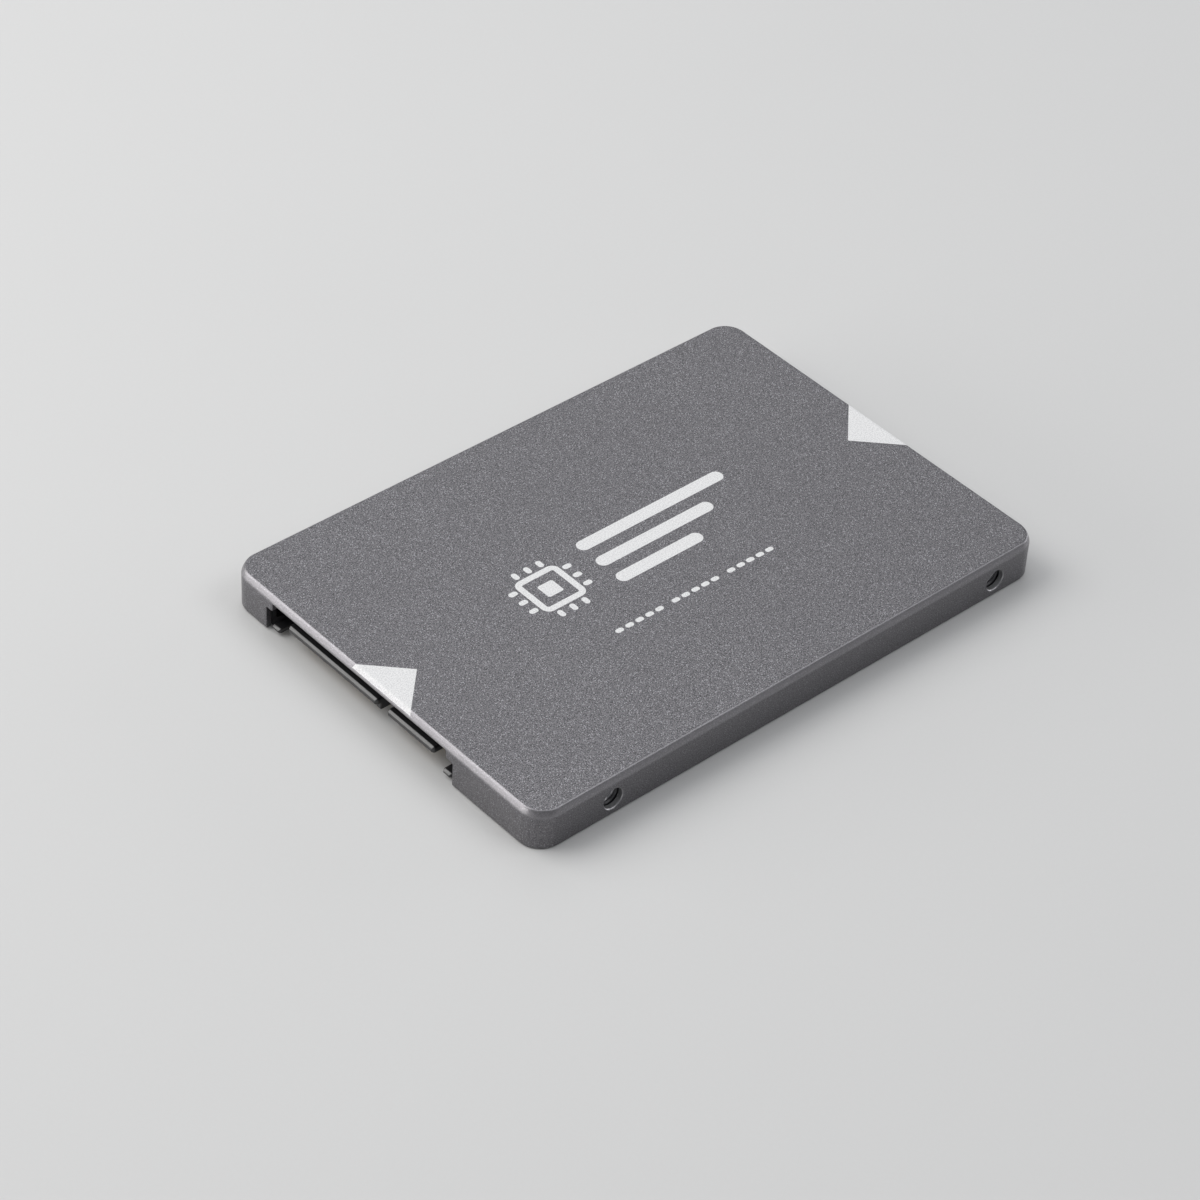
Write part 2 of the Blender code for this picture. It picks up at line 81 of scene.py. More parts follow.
def roundedRectangle(low, high, radius, steps=8):
    # corner centre + radius * (cos a, sin a), a over a quarter turn at each corner, anticlockwise
    low, high = np.array(low[:2], float), np.array(high[:2], float)
    quarter = np.arange(4)[:, None] * math.pi / 2 + np.linspace(0, math.pi / 2, steps)
    signs = np.array([[1, 1], [-1, 1], [-1, -1], [1, -1]])
    middles = (low + high) / 2 + signs * ((high - low) / 2 - radius)
    arcs = radius * np.stack([np.cos(quarter), np.sin(quarter)], axis=-1)
    return (middles[:, None, :] + arcs).reshape(-1, 2)


def ringed(rings, heights, axis="z", closed=False):
    # ring k lies at height k; each quad joins a ring to the next, and the ends are capped or joined up
    rings, heights = np.array(rings, float), np.array(heights, float)
    rows, count = rings.shape[:2]
    levels = np.broadcast_to(heights[:, None, None], (rows, count, 1))
    points = np.concatenate([rings, levels], axis=-1)
    points = np.roll(points, "zxy".index(axis), axis=-1).reshape(-1, 3)
    row = np.arange(rows if closed else rows - 1)[:, None] * count
    above = (row + count) % (rows * count)
    here = np.arange(count)[None, :]
    after = (here + 1) % count
    quads = np.stack([row + here, row + after, above + after, above + here], axis=-1).reshape(-1, 4)
    faces = quads.tolist()
    if not closed:
        faces += [list(range(count))[::-1], list(range((rows - 1) * count, rows * count))]
    return points, faces


def plate(low, high, radius, stages, axis="z", steps=8, closed=False):
    # a rounded rectangle, drawn in by each stage's inset and its corner radius with it, at the stage's height
    low, high = np.array(low[:2], float), np.array(high[:2], float)
    least = 0.04 * radius
    rings = [roundedRectangle(low + i, high - i, max(radius - i, least), steps) for i, _ in stages]
    return ringed(rings, [h for _, h in stages], axis, closed)


def lifted(outline, stages, axis="z", closed=False):
    # outline - inset * mitre, where the mitre of normals m and n is (m + n) / (1 + m.n)
    edges = np.roll(outline, -1, axis=0) - outline
    normals = np.stack([edges[:, 1], -edges[:, 0]], axis=-1)
    normals /= np.linalg.norm(normals, axis=1, keepdims=True)
    earlier = np.roll(normals, 1, axis=0)
    mitre = (normals + earlier) / (1 + np.sum(normals * earlier, axis=1, keepdims=True))
    stages = np.array(stages, float)
    return ringed(outline[None] - stages[:, :1, None] * mitre[None], stages[:, 1], axis, closed)


def turned(profile, centre, axis="z", steps=32, closed=False):
    # centre + radius * (cos a, sin a) at each height of the profile, a over the whole turn
    profile = np.array(profile, float)
    angle = np.arange(steps) * 2 * math.pi / steps
    circle = np.stack([np.cos(angle), np.sin(angle)], axis=-1)
    return ringed(np.array(centre) + profile[:, :1, None] * circle[None], profile[:, 1], axis, closed)


def strip(path, thickness):
    # the path moved half a thickness to its right and, turned back, to its left; a repeated place is dropped
    path = np.array(path, float)
    moved = np.linalg.norm(np.diff(path, axis=0), axis=1) > 1e-9
    path = path[np.concatenate([[True], moved])]
    steps = np.diff(path, axis=0)
    sides = np.stack([steps[:, 1], -steps[:, 0]], axis=-1)
    sides /= np.linalg.norm(sides, axis=1, keepdims=True)
    m, n = np.concatenate([sides[:1], sides]), np.concatenate([sides, sides[-1:]])
    mitre = (m + n) / (1 + np.sum(m * n, axis=1, keepdims=True)) * thickness / 2
    return np.concatenate([path + mitre, (path - mitre)[::-1]])


def flaredBore(radius, flare, mouth, end, centre, axis="z", steps=40):
    # a round tool for a hole: radius from the end to near the mouth, then opened out by twice the flare
    way = 1 if end > mouth else -1
    profile = [
        (radius + 2 * flare, mouth - way * flare),
        (radius, mouth + way * flare),
        (radius, end),
    ]
    return turned(profile[::way], centre, axis, steps)


def facingOut(outline):
    # anticlockwise, by the sign of the sum of the cross products of following points
    following = np.roll(outline, -1, axis=0)
    area = np.sum(outline[:, 0] * following[:, 1] - outline[:, 1] * following[:, 0])
    return outline if area > 0 else outline[::-1]


def folded(path, fold, steps, thick, stages):
    # a strip along the path, rounded by fold at each bend and carried across Y through the stages
    outline = strip(softened(path, fold, steps, closed=False), thick)
    return lifted(facingOut(outline), stages, "y")


def eased(low, high, inset, ease):
    # (inset, height) of a bar whose two ends are cut back by the inset over the ease
    return [(inset, low), (0, low + ease), (0, high - ease), (inset, high)]


def rolled(low, high, radius, steps=4):
    # inset = radius * (1 - sin a) and rise = radius * (1 - cos a), a over a quarter turn, at both faces
    turn = np.linspace(0, math.pi / 2, steps)
    inset, rise = radius * (1 - np.sin(turn)), radius * (1 - np.cos(turn))
    flat = 1.25 * radius
    under = [(flat, low), *zip(inset, low + rise)]
    over = [(flat, high), *zip(inset, high - rise)]
    return under + over[::-1]


def joined(*forms):
    # all points end to end, each form's faces counted on from its own first point
    starts = np.cumsum([0] + [len(points) for points, _ in forms])
    faces = [[i + int(start) for i in face] for start, (_, fs) in zip(starts, forms) for face in fs]
    return np.concatenate([points for points, _ in forms]), faces


def shifted(form, *offsets):
    # the same form at each offset
    points, faces = form
    return joined(*[(points + np.array(offset), faces) for offset in offsets])


# pieces

def solid(name, form):
    points, faces = form
    mesh = bpy.data.meshes.new(name)
    mesh.from_pydata(points.tolist(), [], faces)
    piece = bpy.data.objects.new(name, mesh)
    bpy.context.scene.collection.objects.link(piece)
    return piece


def carve(piece, operation, *forms):
    # the Boolean is worked out at once and its tool removed, so the piece's mesh is final
    tool = solid("tool", joined(*forms))
    modifier = piece.modifiers.new("carve", "BOOLEAN")
    modifier.operation = operation
    modifier.object = tool
    graph = bpy.context.evaluated_depsgraph_get()
    made = bpy.data.meshes.new_from_object(piece.evaluated_get(graph))
    piece.modifiers.clear()
    piece.data = made
    bpy.data.objects.remove(tool)
    if not len(made.polygons):
        raise ValueError(f"nothing is left of {piece.name}: a tool crosses itself")


def finishPiece(piece, finish, body="chassis", slot=None, replaced=(), crease=32):
    # smooth up to the crease angle in degrees, one finish, and its place on a body
    mesh = piece.data
    mesh.shade_smooth()
    mesh.set_sharp_from_angle(angle=math.radians(crease))
    mesh.materials.clear()
    mesh.materials.append(finish)
    shade = piece.modifiers.new("evenShade", "WEIGHTED_NORMAL")
    shade.keep_sharp = True
    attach(piece, body)
    if replaced:
        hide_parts(*replaced)
    return piece


def addPiece(name, form, finish, **rest):
    return finishPiece(solid(name, form), finish, **rest)


# finishes

class Link:
    # one shader socket: each sign on it adds a Math node, with a number or another socket on its other side
    def __init__(self, finish, socket):
        self.finish = finish
        self.socket = socket

    def reckon(self, operation, first, second):
        return self.finish.add("ShaderNodeMath", {"operation": operation}, {0: first, 1: second})

    def __add__(self, other):
        return self.reckon("ADD", self, other)

    def __radd__(self, other):
        return self.reckon("ADD", other, self)

    def __sub__(self, other):
        return self.reckon("SUBTRACT", self, other)

    def __rsub__(self, other):
        return self.reckon("SUBTRACT", other, self)

    def __mul__(self, other):
        return self.reckon("MULTIPLY", self, other)

    def __rmul__(self, other):
        return self.reckon("MULTIPLY", other, self)


class Finish:
    def __init__(self, name, metallic=0.0, **fixed):
        self.material = bpy.data.materials.new(name)
        self.material.use_nodes = True
        self.tree = self.material.node_tree
        self.shader = self.tree.nodes["Principled BSDF"]
        self.place = self.add("ShaderNodeTexCoord", output="Object")
        self.set(Metallic=metallic, **fixed)

    def feed(self, socket, value):
        if isinstance(value, Link):
            self.tree.links.new(value.socket, socket)
        else:
            socket.default_value = value

    def add(self, kind, settings=None, inputs=None, output=0):
        node = self.tree.nodes.new(kind)
        for key, value in (settings or {}).items():
            setattr(node, key, value)
        for key, value in (inputs or {}).items():
            self.feed(node.inputs[key], value)
        return Link(self, node.outputs[output])

    def set(self, **values):
        for key, value in values.items():
            self.feed(self.shader.inputs[key.replace("_", " ")], value)
        return self.material

    def noise(self, size, detail=2.0, stretch=(1, 1, 1), rough=0.5):
        # a pattern whose features are about size across, longer where stretch is under 1
        at = self.add("ShaderNodeMapping", {}, {"Vector": self.place, "Scale": stretch})
        inputs = {"Vector": at, "Scale": 1 / size, "Detail": detail, "Roughness": rough}
        return self.add("ShaderNodeTexNoise", {}, inputs)

    def cells(self, size):
        # one chance value for each cell about size across
        inputs = {"Vector": self.place, "Scale": 1 / size}
        return self.add("ShaderNodeTexVoronoi", {}, inputs, "Color")

    def dots(self, size, least, reach):
        # 1 inside a round dot, reach cells in radius, in each cell whose chance value is above least
        chance = self.cells(size)
        distance = Link(self, chance.socket.node.outputs["Distance"])
        return self.step(chance, least, least + 0.04) * self.step(distance, reach, 0.6 * reach)

    def part(self, name):
        # one coordinate of the place, in metres
        return self.add("ShaderNodeSeparateXYZ", {}, {0: self.place}, name)

    def nearLine(self, x, z, outer, inner):
        # 1 within inner of the line along Y through (x, z), 0 past outer, by sqrt((X - x)^2 + (Z - z)^2)
        inputs = {"Vector": self.place, "Location": (-x, 0, -z), "Scale": (1, 0, 1)}
        flat = self.add("ShaderNodeMapping", {}, inputs)
        away = self.add("ShaderNodeVectorMath", {"operation": "LENGTH"}, {0: flat}, "Value")
        return self.step(away, outer, inner)

    def step(self, value, low, high, least=0.0, most=1.0):
        inputs = {"Value": value, "From Min": low, "From Max": high, "To Min": least, "To Max": most}
        return self.add("ShaderNodeMapRange", {"interpolation_type": "SMOOTHSTEP"}, inputs)

    def mix(self, share, first, second):
        tones = {0: share, 6: self.tone(first), 7: self.tone(second)}
        return self.add("ShaderNodeMix", {"data_type": "RGBA"}, tones, 2)

    def tone(self, value):
        return value if isinstance(value, Link) else (*value, 1)

    def bump(self, height, depth, strength=1.0):
        inputs = {"Height": height, "Distance": depth, "Strength": strength}
        return self.add("ShaderNodeBump", {}, inputs)


def coverInk():
    # screen print over the grain: nearly white, thin spots where the grain stands through
    f = Finish("coverInk", Specular_IOR_Level=0.3)
    grain = f.noise(0.20 * mm, 3)
    f.set(Base_Color=f.mix(f.step(grain, 0.34, 0.62), (0.60, 0.60, 0.61), (0.79, 0.79, 0.795)))
    f.set(Roughness=f.step(grain, 0.2, 0.8, 0.42, 0.62))
    return f.set(Normal=f.bump(grain, 0.01 * mm, 0.3))


def castMetal():
    # matt cast tray: soft pits, faint flow marks and a little lighter on its high spots
    f = Finish("castMetal", metallic=0.7)
    pits = f.noise(0.35 * mm, 4, rough=0.6)
    flow = f.noise(9 * mm, 3, (0.25, 1, 1))
    tone = f.mix(f.step(pits, 0.35, 0.65), (0.085, 0.085, 0.09), (0.14, 0.14, 0.147))
    f.set(Base_Color=f.mix(f.step(flow, 0.4, 0.7) * 0.3, tone, (0.19, 0.19, 0.195)))
    f.set(Roughness=f.step(pits, 0.3, 0.7, 0.46, 0.6) - flow * 0.08)
    return f.set(Normal=f.bump(pits, 0.03 * mm, 0.4))


def bareMetal(name, low, high, roughness, grain, along=(1, 1, 1)):
    # cut or plated metal with fine drawn marks
    f = Finish(name, metallic=1.0)
    marks = f.noise(grain, 3, along)
    stain = f.noise(14 * grain, 2)
    f.set(Base_Color=f.mix(f.step(marks, 0.3, 0.7) * 0.6 + stain * 0.4, low, high))
    f.set(Roughness=roughness + (marks - 0.5) * 0.18 + (stain - 0.5) * 0.14)
    return f.set(Normal=f.bump(marks, 0.006 * mm, 0.35))


def solderMask():
    # green lacquer over glass cloth: the weave shows faintly, and copper areas lie a shade lighter
    f = Finish("solderMask", Coat_Roughness=0.12)
    x, y = f.part("X"), f.part("Y")
    pitch = 2 * math.pi / (0.45 * mm)
    warp = f.add("ShaderNodeMath", {"operation": "SINE"}, {0: x * pitch})
    weft = f.add("ShaderNodeMath", {"operation": "SINE"}, {0: y * pitch})
    weave = warp * weft
    copper = f.step(f.noise(7 * mm, 1), 0.49, 0.51)
    tone = f.mix(f.step(weave, -1.0, 1.0), (0.004, 0.040, 0.018), (0.007, 0.052, 0.024))
    cut = f.step(f.part("Z"), boardFace - 0.1 * mm, boardFace - 0.02 * mm)
    tone = f.mix(copper * 0.35, tone, (0.010, 0.085, 0.038))
    f.set(Base_Color=f.mix(cut, (0.16, 0.13, 0.06), tone))
    f.set(Roughness=0.42 - cut * 0.1 + weave * 0.03)
    f.set(Coat_Weight=cut * 0.7)
    return f.set(Normal=f.bump(weave + copper * 2.0, 0.004 * mm, 0.6))


def maskedTrack():
    # copper under the lacquer: a lighter green, glossy, its tone wandering along the track
    f = Finish("maskedTrack", Coat_Roughness=0.12, Coat_Weight=0.7)
    wander = f.noise(0.8 * mm, 2)
    f.set(Base_Color=f.mix(wander, (0.012, 0.105, 0.045), (0.018, 0.150, 0.066)))
    return f.set(Roughness=f.step(wander, 0.3, 0.7, 0.26, 0.4))


def moulded(name, tone, pale, grain, roughness, depth, **fixed):
    # filled plastic or pressed powder: fine grain, a few pale specks, faint gloss changes
    f = Finish(name, **fixed)
    skin = f.noise(grain, 4, rough=0.6)
    specks = f.step(f.cells(0.9 * grain), 0.78, 0.9)
    gloss = f.noise(20 * grain, 2)
    body = f.mix(f.step(skin, 0.3, 0.7), tone, [2.0 * c for c in tone])
    f.set(Base_Color=f.mix(specks * 0.25, body, pale))
    f.set(Roughness=roughness + (skin - 0.5) * 0.16 + (gloss - 0.5) * 0.12)
    return f.set(Normal=f.bump(skin, depth, 0.5))


def packageResin():
    # black moulding resin over a thin green carrier, told apart by height above the board
    f = Finish("packageResin")
    skin = f.noise(0.12 * mm, 4, rough=0.65)
    gloss = f.noise(3 * mm, 2)
    carrier = f.step(f.part("Z"), boardFace + 0.30 * mm, boardFace + 0.33 * mm)
    body = f.mix(f.step(skin, 0.3, 0.7), (0.012, 0.012, 0.013), (0.026, 0.026, 0.027))
    f.set(Base_Color=f.mix(carrier, (0.012, 0.05, 0.03), body))
    f.set(Roughness=0.55 + (skin - 0.5) * 0.16 + (gloss - 0.5) * 0.1)
    return f.set(Normal=f.bump(skin, 0.012 * mm, 0.5))


def softSilicone():
    # dull blue rubber with wide shallow dimples
    f = Finish("softSilicone", Sheen_Weight=0.15)
    skin = f.noise(0.4 * mm, 3)
    dimples = f.noise(2.5 * mm, 2)
    f.set(Base_Color=f.mix(dimples, (0.22, 0.30, 0.39), (0.31, 0.39, 0.47)))
    f.set(Roughness=f.step(skin, 0.3, 0.7, 0.62, 0.82))
    return f.set(Normal=f.bump(skin * 0.3 + dimples, 0.12 * mm, 0.5))


def coatedPaper():
    # white paper: fibres along X under a thin coat, slightly yellowed in places
    f = Finish("coatedPaper", Coat_Roughness=0.3, Coat_Weight=0.25)
    fibres = f.noise(0.25 * mm, 4, (0.35, 1, 1), 0.6)
    yellowing = f.noise(18 * mm, 2)
    tone = f.mix(f.step(fibres, 0.3, 0.7), (0.70, 0.70, 0.69), (0.78, 0.78, 0.775))
    f.set(Base_Color=f.mix(yellowing * 0.15, tone, (0.70, 0.68, 0.62)))
    f.set(Roughness=f.step(fibres, 0.3, 0.7, 0.42, 0.56))
    return f.set(Normal=f.bump(fibres, 0.01 * mm, 0.4))


def labelInk(name, tone):
    # ink with small paler breaks, where the ground under it shows through
    f = Finish(name)
    breaks = f.noise(0.18 * mm, 4, rough=0.6)
    faded = [3 * c + 0.05 for c in tone]
    f.set(Base_Color=f.mix(f.step(breaks, 0.62, 0.8), tone, faded))
    return f.set(Roughness=f.step(breaks, 0.3, 0.7, 0.4, 0.58))


printWhite = coverInk()
trayMetal = castMetal()
threadMetal = bareMetal("threadMetal", (0.32, 0.32, 0.33), (0.55, 0.55, 0.56), 0.34, 0.2 * mm)
platedSteel = bareMetal("platedSteel", (0.50, 0.50, 0.51), (0.68, 0.67, 0.66), 0.26, 0.15 * mm, (0.3, 1, 1))
solderTin = bareMetal("solderTin", (0.45, 0.46, 0.47), (0.66, 0.67, 0.68), 0.36, 0.12 * mm)
contactGold = bareMetal("contactGold", (0.72, 0.47, 0.17), (0.83, 0.58, 0.25), 0.24, 0.1 * mm, (0.2, 1, 1))
boardGreen = solderMask()
trackGreen = maskedTrack()
plugBlack = moulded(
    "plugBlack", (0.010, 0.010, 0.011), (0.10, 0.10, 0.10), 0.10 * mm, 0.34, 0.008 * mm,
    IOR=1.5, Specular_IOR_Level=0.9)
ferriteGrey = moulded("ferriteGrey", (0.040, 0.040, 0.043), (0.20, 0.20, 0.20), 0.14 * mm, 0.66, 0.03 * mm)
resinBlack = packageResin()
tantalumAmber = moulded("tantalumAmber", (0.36, 0.21, 0.04), (0.60, 0.42, 0.12), 0.12 * mm, 0.42, 0.01 * mm)
ceramicTan = moulded("ceramicTan", (0.16, 0.10, 0.055), (0.36, 0.27, 0.17), 0.08 * mm, 0.40, 0.006 * mm)
padBlue = softSilicone()
labelWhite = coatedPaper()
inkDark = labelInk("inkDark", (0.03, 0.03, 0.033))
inkGrey = labelInk("inkGrey", (0.24, 0.24, 0.25))
laserGrey = labelInk("laserGrey", (0.13, 0.13, 0.13))
print("finishes made")


# cover: one shell whose section is carried round the plan outline

cover = {
    "corner": 4.0 * mm,
    "cornerSteps": 20,
    "wall": 0.9 * mm,
    "ceiling": 6.0 * mm,
    "ceilingRound": 0.25 * mm,
    "capMargin": 0.5 * mm,
    "hemRound": 0.2 * mm,
    "facetFoot": 5.93 * mm,
    "facetInset": 0.48 * mm,
    "footRound": 0.28 * mm,
    "topRound": 0.3 * mm,
    "holeRadius": 1.75 * mm,
    "holeFlare": 0.14 * mm,
    "holeHeight": 3.0 * mm,
    "holesFromPlugEnd": (14.0 * mm, 90.6 * mm),
}
coverTones = {
    "dark": (0.080, 0.078, 0.084),
    "pale": (0.272, 0.266, 0.281),
    "even": (0.165, 0.161, 0.170),
    "spark": (0.58, 0.57, 0.60),
    "pit": (0.05, 0.049, 0.052),
    # rim: the pale tone of a painted highlight on the cover's edge band
    "rim": (0.40, 0.39, 0.41),
    "bare": (0.60, 0.60, 0.61),
    "cloud": (0.13, 0.126, 0.135),
}
opening = {
    "low": plugMiddle - 21.3 * mm,
    "high": plugMiddle + 21.5 * mm,
    "step": 1.5 * mm,
    "stepHeight": 4.3 * mm,
    "top": 5.75 * mm,
    "cornerCut": 0.3 * mm,
    "flare": 0.1 * mm,
}
lugs = {
    "sideX": (-14.0 * mm, 16.0 * mm),
    "endY": (-16.0 * mm, 16.0 * mm),
    "length": 5.0 * mm,
    "height": 0.8 * mm,
    "middle": 2.0 * mm,
    "proud": 0.2 * mm,
    "pocket": 0.55 * mm,
    "slack": 0.3 * mm,
    "root": 0.3 * mm,
    "corner": 0.12 * mm,
}
holeXs = [wallFoot[0] + distance for distance in cover["holesFromPlugEnd"]]
bossPlaces = [(x, side) for x in holeXs for side in (-1, 1)]


def blastedGrey():
    # dyed metal, blasted: a 0.18 mm grain with sparks and pits, strongest on the flat top,
    # a painted highlight that makes the edge band paler, bare hole walls and slow clouding
    f = Finish("blastedGrey", metallic=0.8)
    tones = coverTones
    grain = f.noise(0.18 * mm, 2)
    clouds = f.noise(22 * mm, 2)
    sparks = f.dots(0.23 * mm, 0.60, 0.42)
    pits = f.dots(0.26 * mm, 0.62, 0.45)
    z = f.part("Z")
    face = f.step(z, topFace - 0.06 * mm, topFace - 0.002 * mm)
    body = f.mix(f.step(grain, 0.34, 0.66), tones["dark"], tones["pale"])
    body = f.mix(0.5 - face * 0.5, body, tones["even"])
    body = f.mix(sparks * (0.35 + face * 0.35), body, tones["spark"])
    body = f.mix(pits * (0.35 + face * 0.40), body, tones["pit"])
    # painted highlight: the edge band, from about 5.5 mm up to just under the printed face, is mixed towards
    # the pale rim tone
    rim = f.step(z, 5.5 * mm, 6.2 * mm) - f.step(z, topFace - 0.04 * mm, topFace - 0.004 * mm)
    body = f.mix(rim * 0.4, body, tones["rim"])
    inner, outer = cover["holeRadius"], cover["holeRadius"] + 1.3 * cover["holeFlare"]
    first, last = (f.nearLine(x, cover["holeHeight"], outer, inner) for x in holeXs)
    body = f.mix((first + last) * 0.8, body, tones["bare"])
    f.set(Base_Color=f.mix(f.step(clouds, 0.3, 0.7) * 0.10, body, tones["cloud"]))
    f.set(Roughness=0.40 - sparks * 0.08 + (grain - 0.5) * 0.20)
    return f.set(Normal=f.bump(grain, 0.014 * mm, 0.45))


def coverSection():
    # (inset, height) from the ceiling's edge down the inner wall, round the hem and up to the printed face
    c = cover
    corners = [
        (c["wall"] + c["capMargin"], c["ceiling"]),
        (c["wall"], c["ceiling"]),
        (c["wall"], caseLow[2]),
        (0, caseLow[2]),
        (0, c["facetFoot"]),
        (c["facetInset"], topFace),
        (c["facetInset"] + c["capMargin"], topFace),
    ]
    cuts = (0, c["ceilingRound"], c["hemRound"], c["hemRound"], c["footRound"], c["topRound"], 0)
    return softened(corners, cuts, 6, closed=False)


def coverHeight(inset):
    # the outer section read as a height for each inset, from the wall's head to the printed face
    section = coverSection()
    outer = section[np.argmax(section[:, 1] > cover["facetFoot"] - cover["footRound"] - 1e-9):]
    outer = outer[outer[:, 1] > cover["facetFoot"] - 1.01 * cover["footRound"]]
    outer = outer[outer[:, 0] < cover["wall"]]
    return np.interp(inset, outer[:, 0], outer[:, 1])


def openingTool():
    # the stepped opening as an outline in the end wall, flared at the wall's outer face
    o, under = opening, -1.0 * mm
    corners = [
        (o["low"], under),
        (o["high"], under),
        (o["high"], o["stepHeight"]),
        (o["high"] - o["step"], o["stepHeight"]),
        (o["high"] - o["step"], o["top"]),
        (o["low"] + o["step"], o["top"]),
        (o["low"] + o["step"], o["stepHeight"]),
        (o["low"], o["stepHeight"]),
    ]
    outline = softened(corners, o["cornerCut"], 4)
    face = wallFoot[0]
    stages = [
        (-1.5 * o["flare"], face - 0.5 * o["flare"]),
        (0, face + o["flare"]),
        (0, face + 1.2 * cover["wall"]),
    ]
    return lifted(outline, stages, "x")


def lugPlaces():
    # (middle, outward direction) of each lug, on the two long sides and the far end
    sides = [((x, side * trayHead[1]), (0, side)) for side in (-1, 1) for x in lugs["sideX"]]
    return sides + [((trayHead[0], y), (1, 0)) for y in lugs["endY"]]


def lugForms(proud, slack):
    # a block at each place, rooted in the tray's wall and standing proud of it: with slack it is
    # the tool for the cover's pocket, and without it the lug, whose foot is ramped
    rise = lugs["height"] / 2 + slack
    foot, head = lugs["middle"] - rise, lugs["middle"] + rise
    ramp = 0 if slack else 0.7 * proud
    stages = [(0, foot), (0, head)]
    if ramp:
        stages = [(ramp, foot), (0, foot + 1.2 * ramp), (0, head)]
    forms = []
    for place, way in lugPlaces():
        out = np.array(way)
        half = lugs["root"] * np.abs(out) + (lugs["length"] / 2 + slack) * np.abs(out[::-1])
        reach = proud - lugs["root"]
        low, high = place - half + reach * np.minimum(out, 0), place + half + reach * np.maximum(out, 0)
        forms.append(plate(low, high, lugs["corner"], stages, steps=3))
    return forms


def makeCover():
    # the shell less the plug's opening, the side holes and the lugs' pockets
    c = cover
    form = plate(wallFoot, wallHead, c["corner"], coverSection(), steps=c["cornerSteps"])
    shell = solid("coverShell", form)
    holes = []
    face, inside = wallHead[1], wallHead[1] - 2 * c["wall"]
    for x, side in bossPlaces:
        centre = (c["holeHeight"], x)
        holes.append(flaredBore(c["holeRadius"], c["holeFlare"], side * face, side * inside, centre, "y"))
    carve(shell, "DIFFERENCE", openingTool())
    carve(shell, "DIFFERENCE", *holes)
    carve(shell, "DIFFERENCE", *lugForms(lugs["pocket"], lugs["slack"]))
    finishPiece(shell, blastedGrey(), body="cover", slot="cover_shell", replaced=["top_cover"])


makeCover()
print("cover made")


# print on the cover: a triangle at the middle of each end, a chip mark with level bars, and a row of dashes

coverPrint = {
    "thick": 0.012 * mm,
    "sunk": 0.01 * mm,
    "tip": 0.05 * mm,
    "rows": 30,
    "chipMiddle": (-16.6 * mm, 1.4 * mm),
    "chipHalf": 4.1 * mm,
    "chipFrame": 1.05 * mm,
    "chipCorner": 1.365 * mm,
    "coreCorner": 0.35 * mm,
    "pinGap": 0.35 * mm,
    "coreHalf": 1.45 * mm,
    "pinReach": 1.55 * mm,
    "pinWidth": 0.95 * mm,
    "pinPitch": 2.35 * mm,
    "barLeft": -7.4 * mm,
    "barEnds": (21.8 * mm, 15.6 * mm, 9.4 * mm),
    "barHeights": (5.9 * mm, 1.4 * mm, -3.1 * mm),
    "barWidth": 2.3 * mm,
    "dashHeight": -11.9 * mm,
    "dashStart": -15.5 * mm,
    "dashGroups": 3,
    "dashesInGroup": 5,
    "dashSize": (1.45 * mm, 0.85 * mm),
    "dashPitch": 1.95 * mm,
    "groupPitch": 11.05 * mm,
}
# at which end, how far in its foot lies, its middle in Y, half its foot's width and its reach inwards
printTriangles = {
    "plugTriangle": (-1, 0.17 * mm, -0.35 * mm, 6.55 * mm, 6.5 * mm),
    "farTriangle": (1, 0.45 * mm, -0.15 * mm, 6.55 * mm, 6.55 * mm),
}


def slab(upper, lower):
    # two grids of the same size, the lower one turned over, joined round their rims
    rows, cols = upper.shape[:2]
    index = np.arange(rows * cols).reshape(rows, cols)
    quads = np.stack([index[:-1, :-1], index[1:, :-1], index[1:, 1:], index[:-1, 1:]], axis=-1)
    quads = quads.reshape(-1, 4)
    rim = np.concatenate([index[0, :-1], index[:-1, -1], index[-1, :0:-1], index[:0:-1, 0]])
    along, deep = np.roll(rim, -1), rows * cols
    walls = np.stack([rim, along, along + deep, rim + deep], axis=-1)
    faces = np.concatenate([quads, quads[:, ::-1] + deep, walls])
    return np.concatenate([upper.reshape(-1, 3), lower.reshape(-1, 3)]), faces.tolist()


def triangleForm(end, inset, middle, half, reach):
    # rows run in from the edge by s: y = middle +- half * (1 - s / reach), z = the cover's height there
    p = coverPrint
    edge = np.linspace(inset, cover["wall"], p["rows"])
    s = np.concatenate([edge, [inset + 0.5 * reach, inset + reach]])
    height = coverHeight(s)
    slope = np.gradient(height, s)
    length = np.hypot(slope, 1)
    width = half * (1 - (s - inset) / reach) + p["tip"]
    y = middle + np.linspace(-1, 1, 5)[None, :] * width[:, None]
    grids = []
    for lift in (p["thick"], -p["sunk"]):
        x = s - lift * slope / length
        x = wallHead[0] - x if end > 0 else wallFoot[0] + x
        z = height + lift / length
        x, z = (np.broadcast_to(values[:, None], y.shape) for values in (x, z))
        grids.append(np.stack([x, y, z], axis=-1)[::-end])
    return slab(*grids)


def inkPatch(low, high, radius):
    # a rounded rectangle of print, its upper edge eased
    p = coverPrint
    face, ease = topFace + p["thick"], 0.4 * p["thick"]
    return plate(low, high, radius, [(0, topFace - p["sunk"]), (0, face - ease), (ease, face)], steps=7)


def pill(centre, size):
    # a patch whose ends are round
    half = np.array(size) / 2
    return inkPatch(np.array(centre) - half, np.array(centre) + half, 0.999 * min(half))


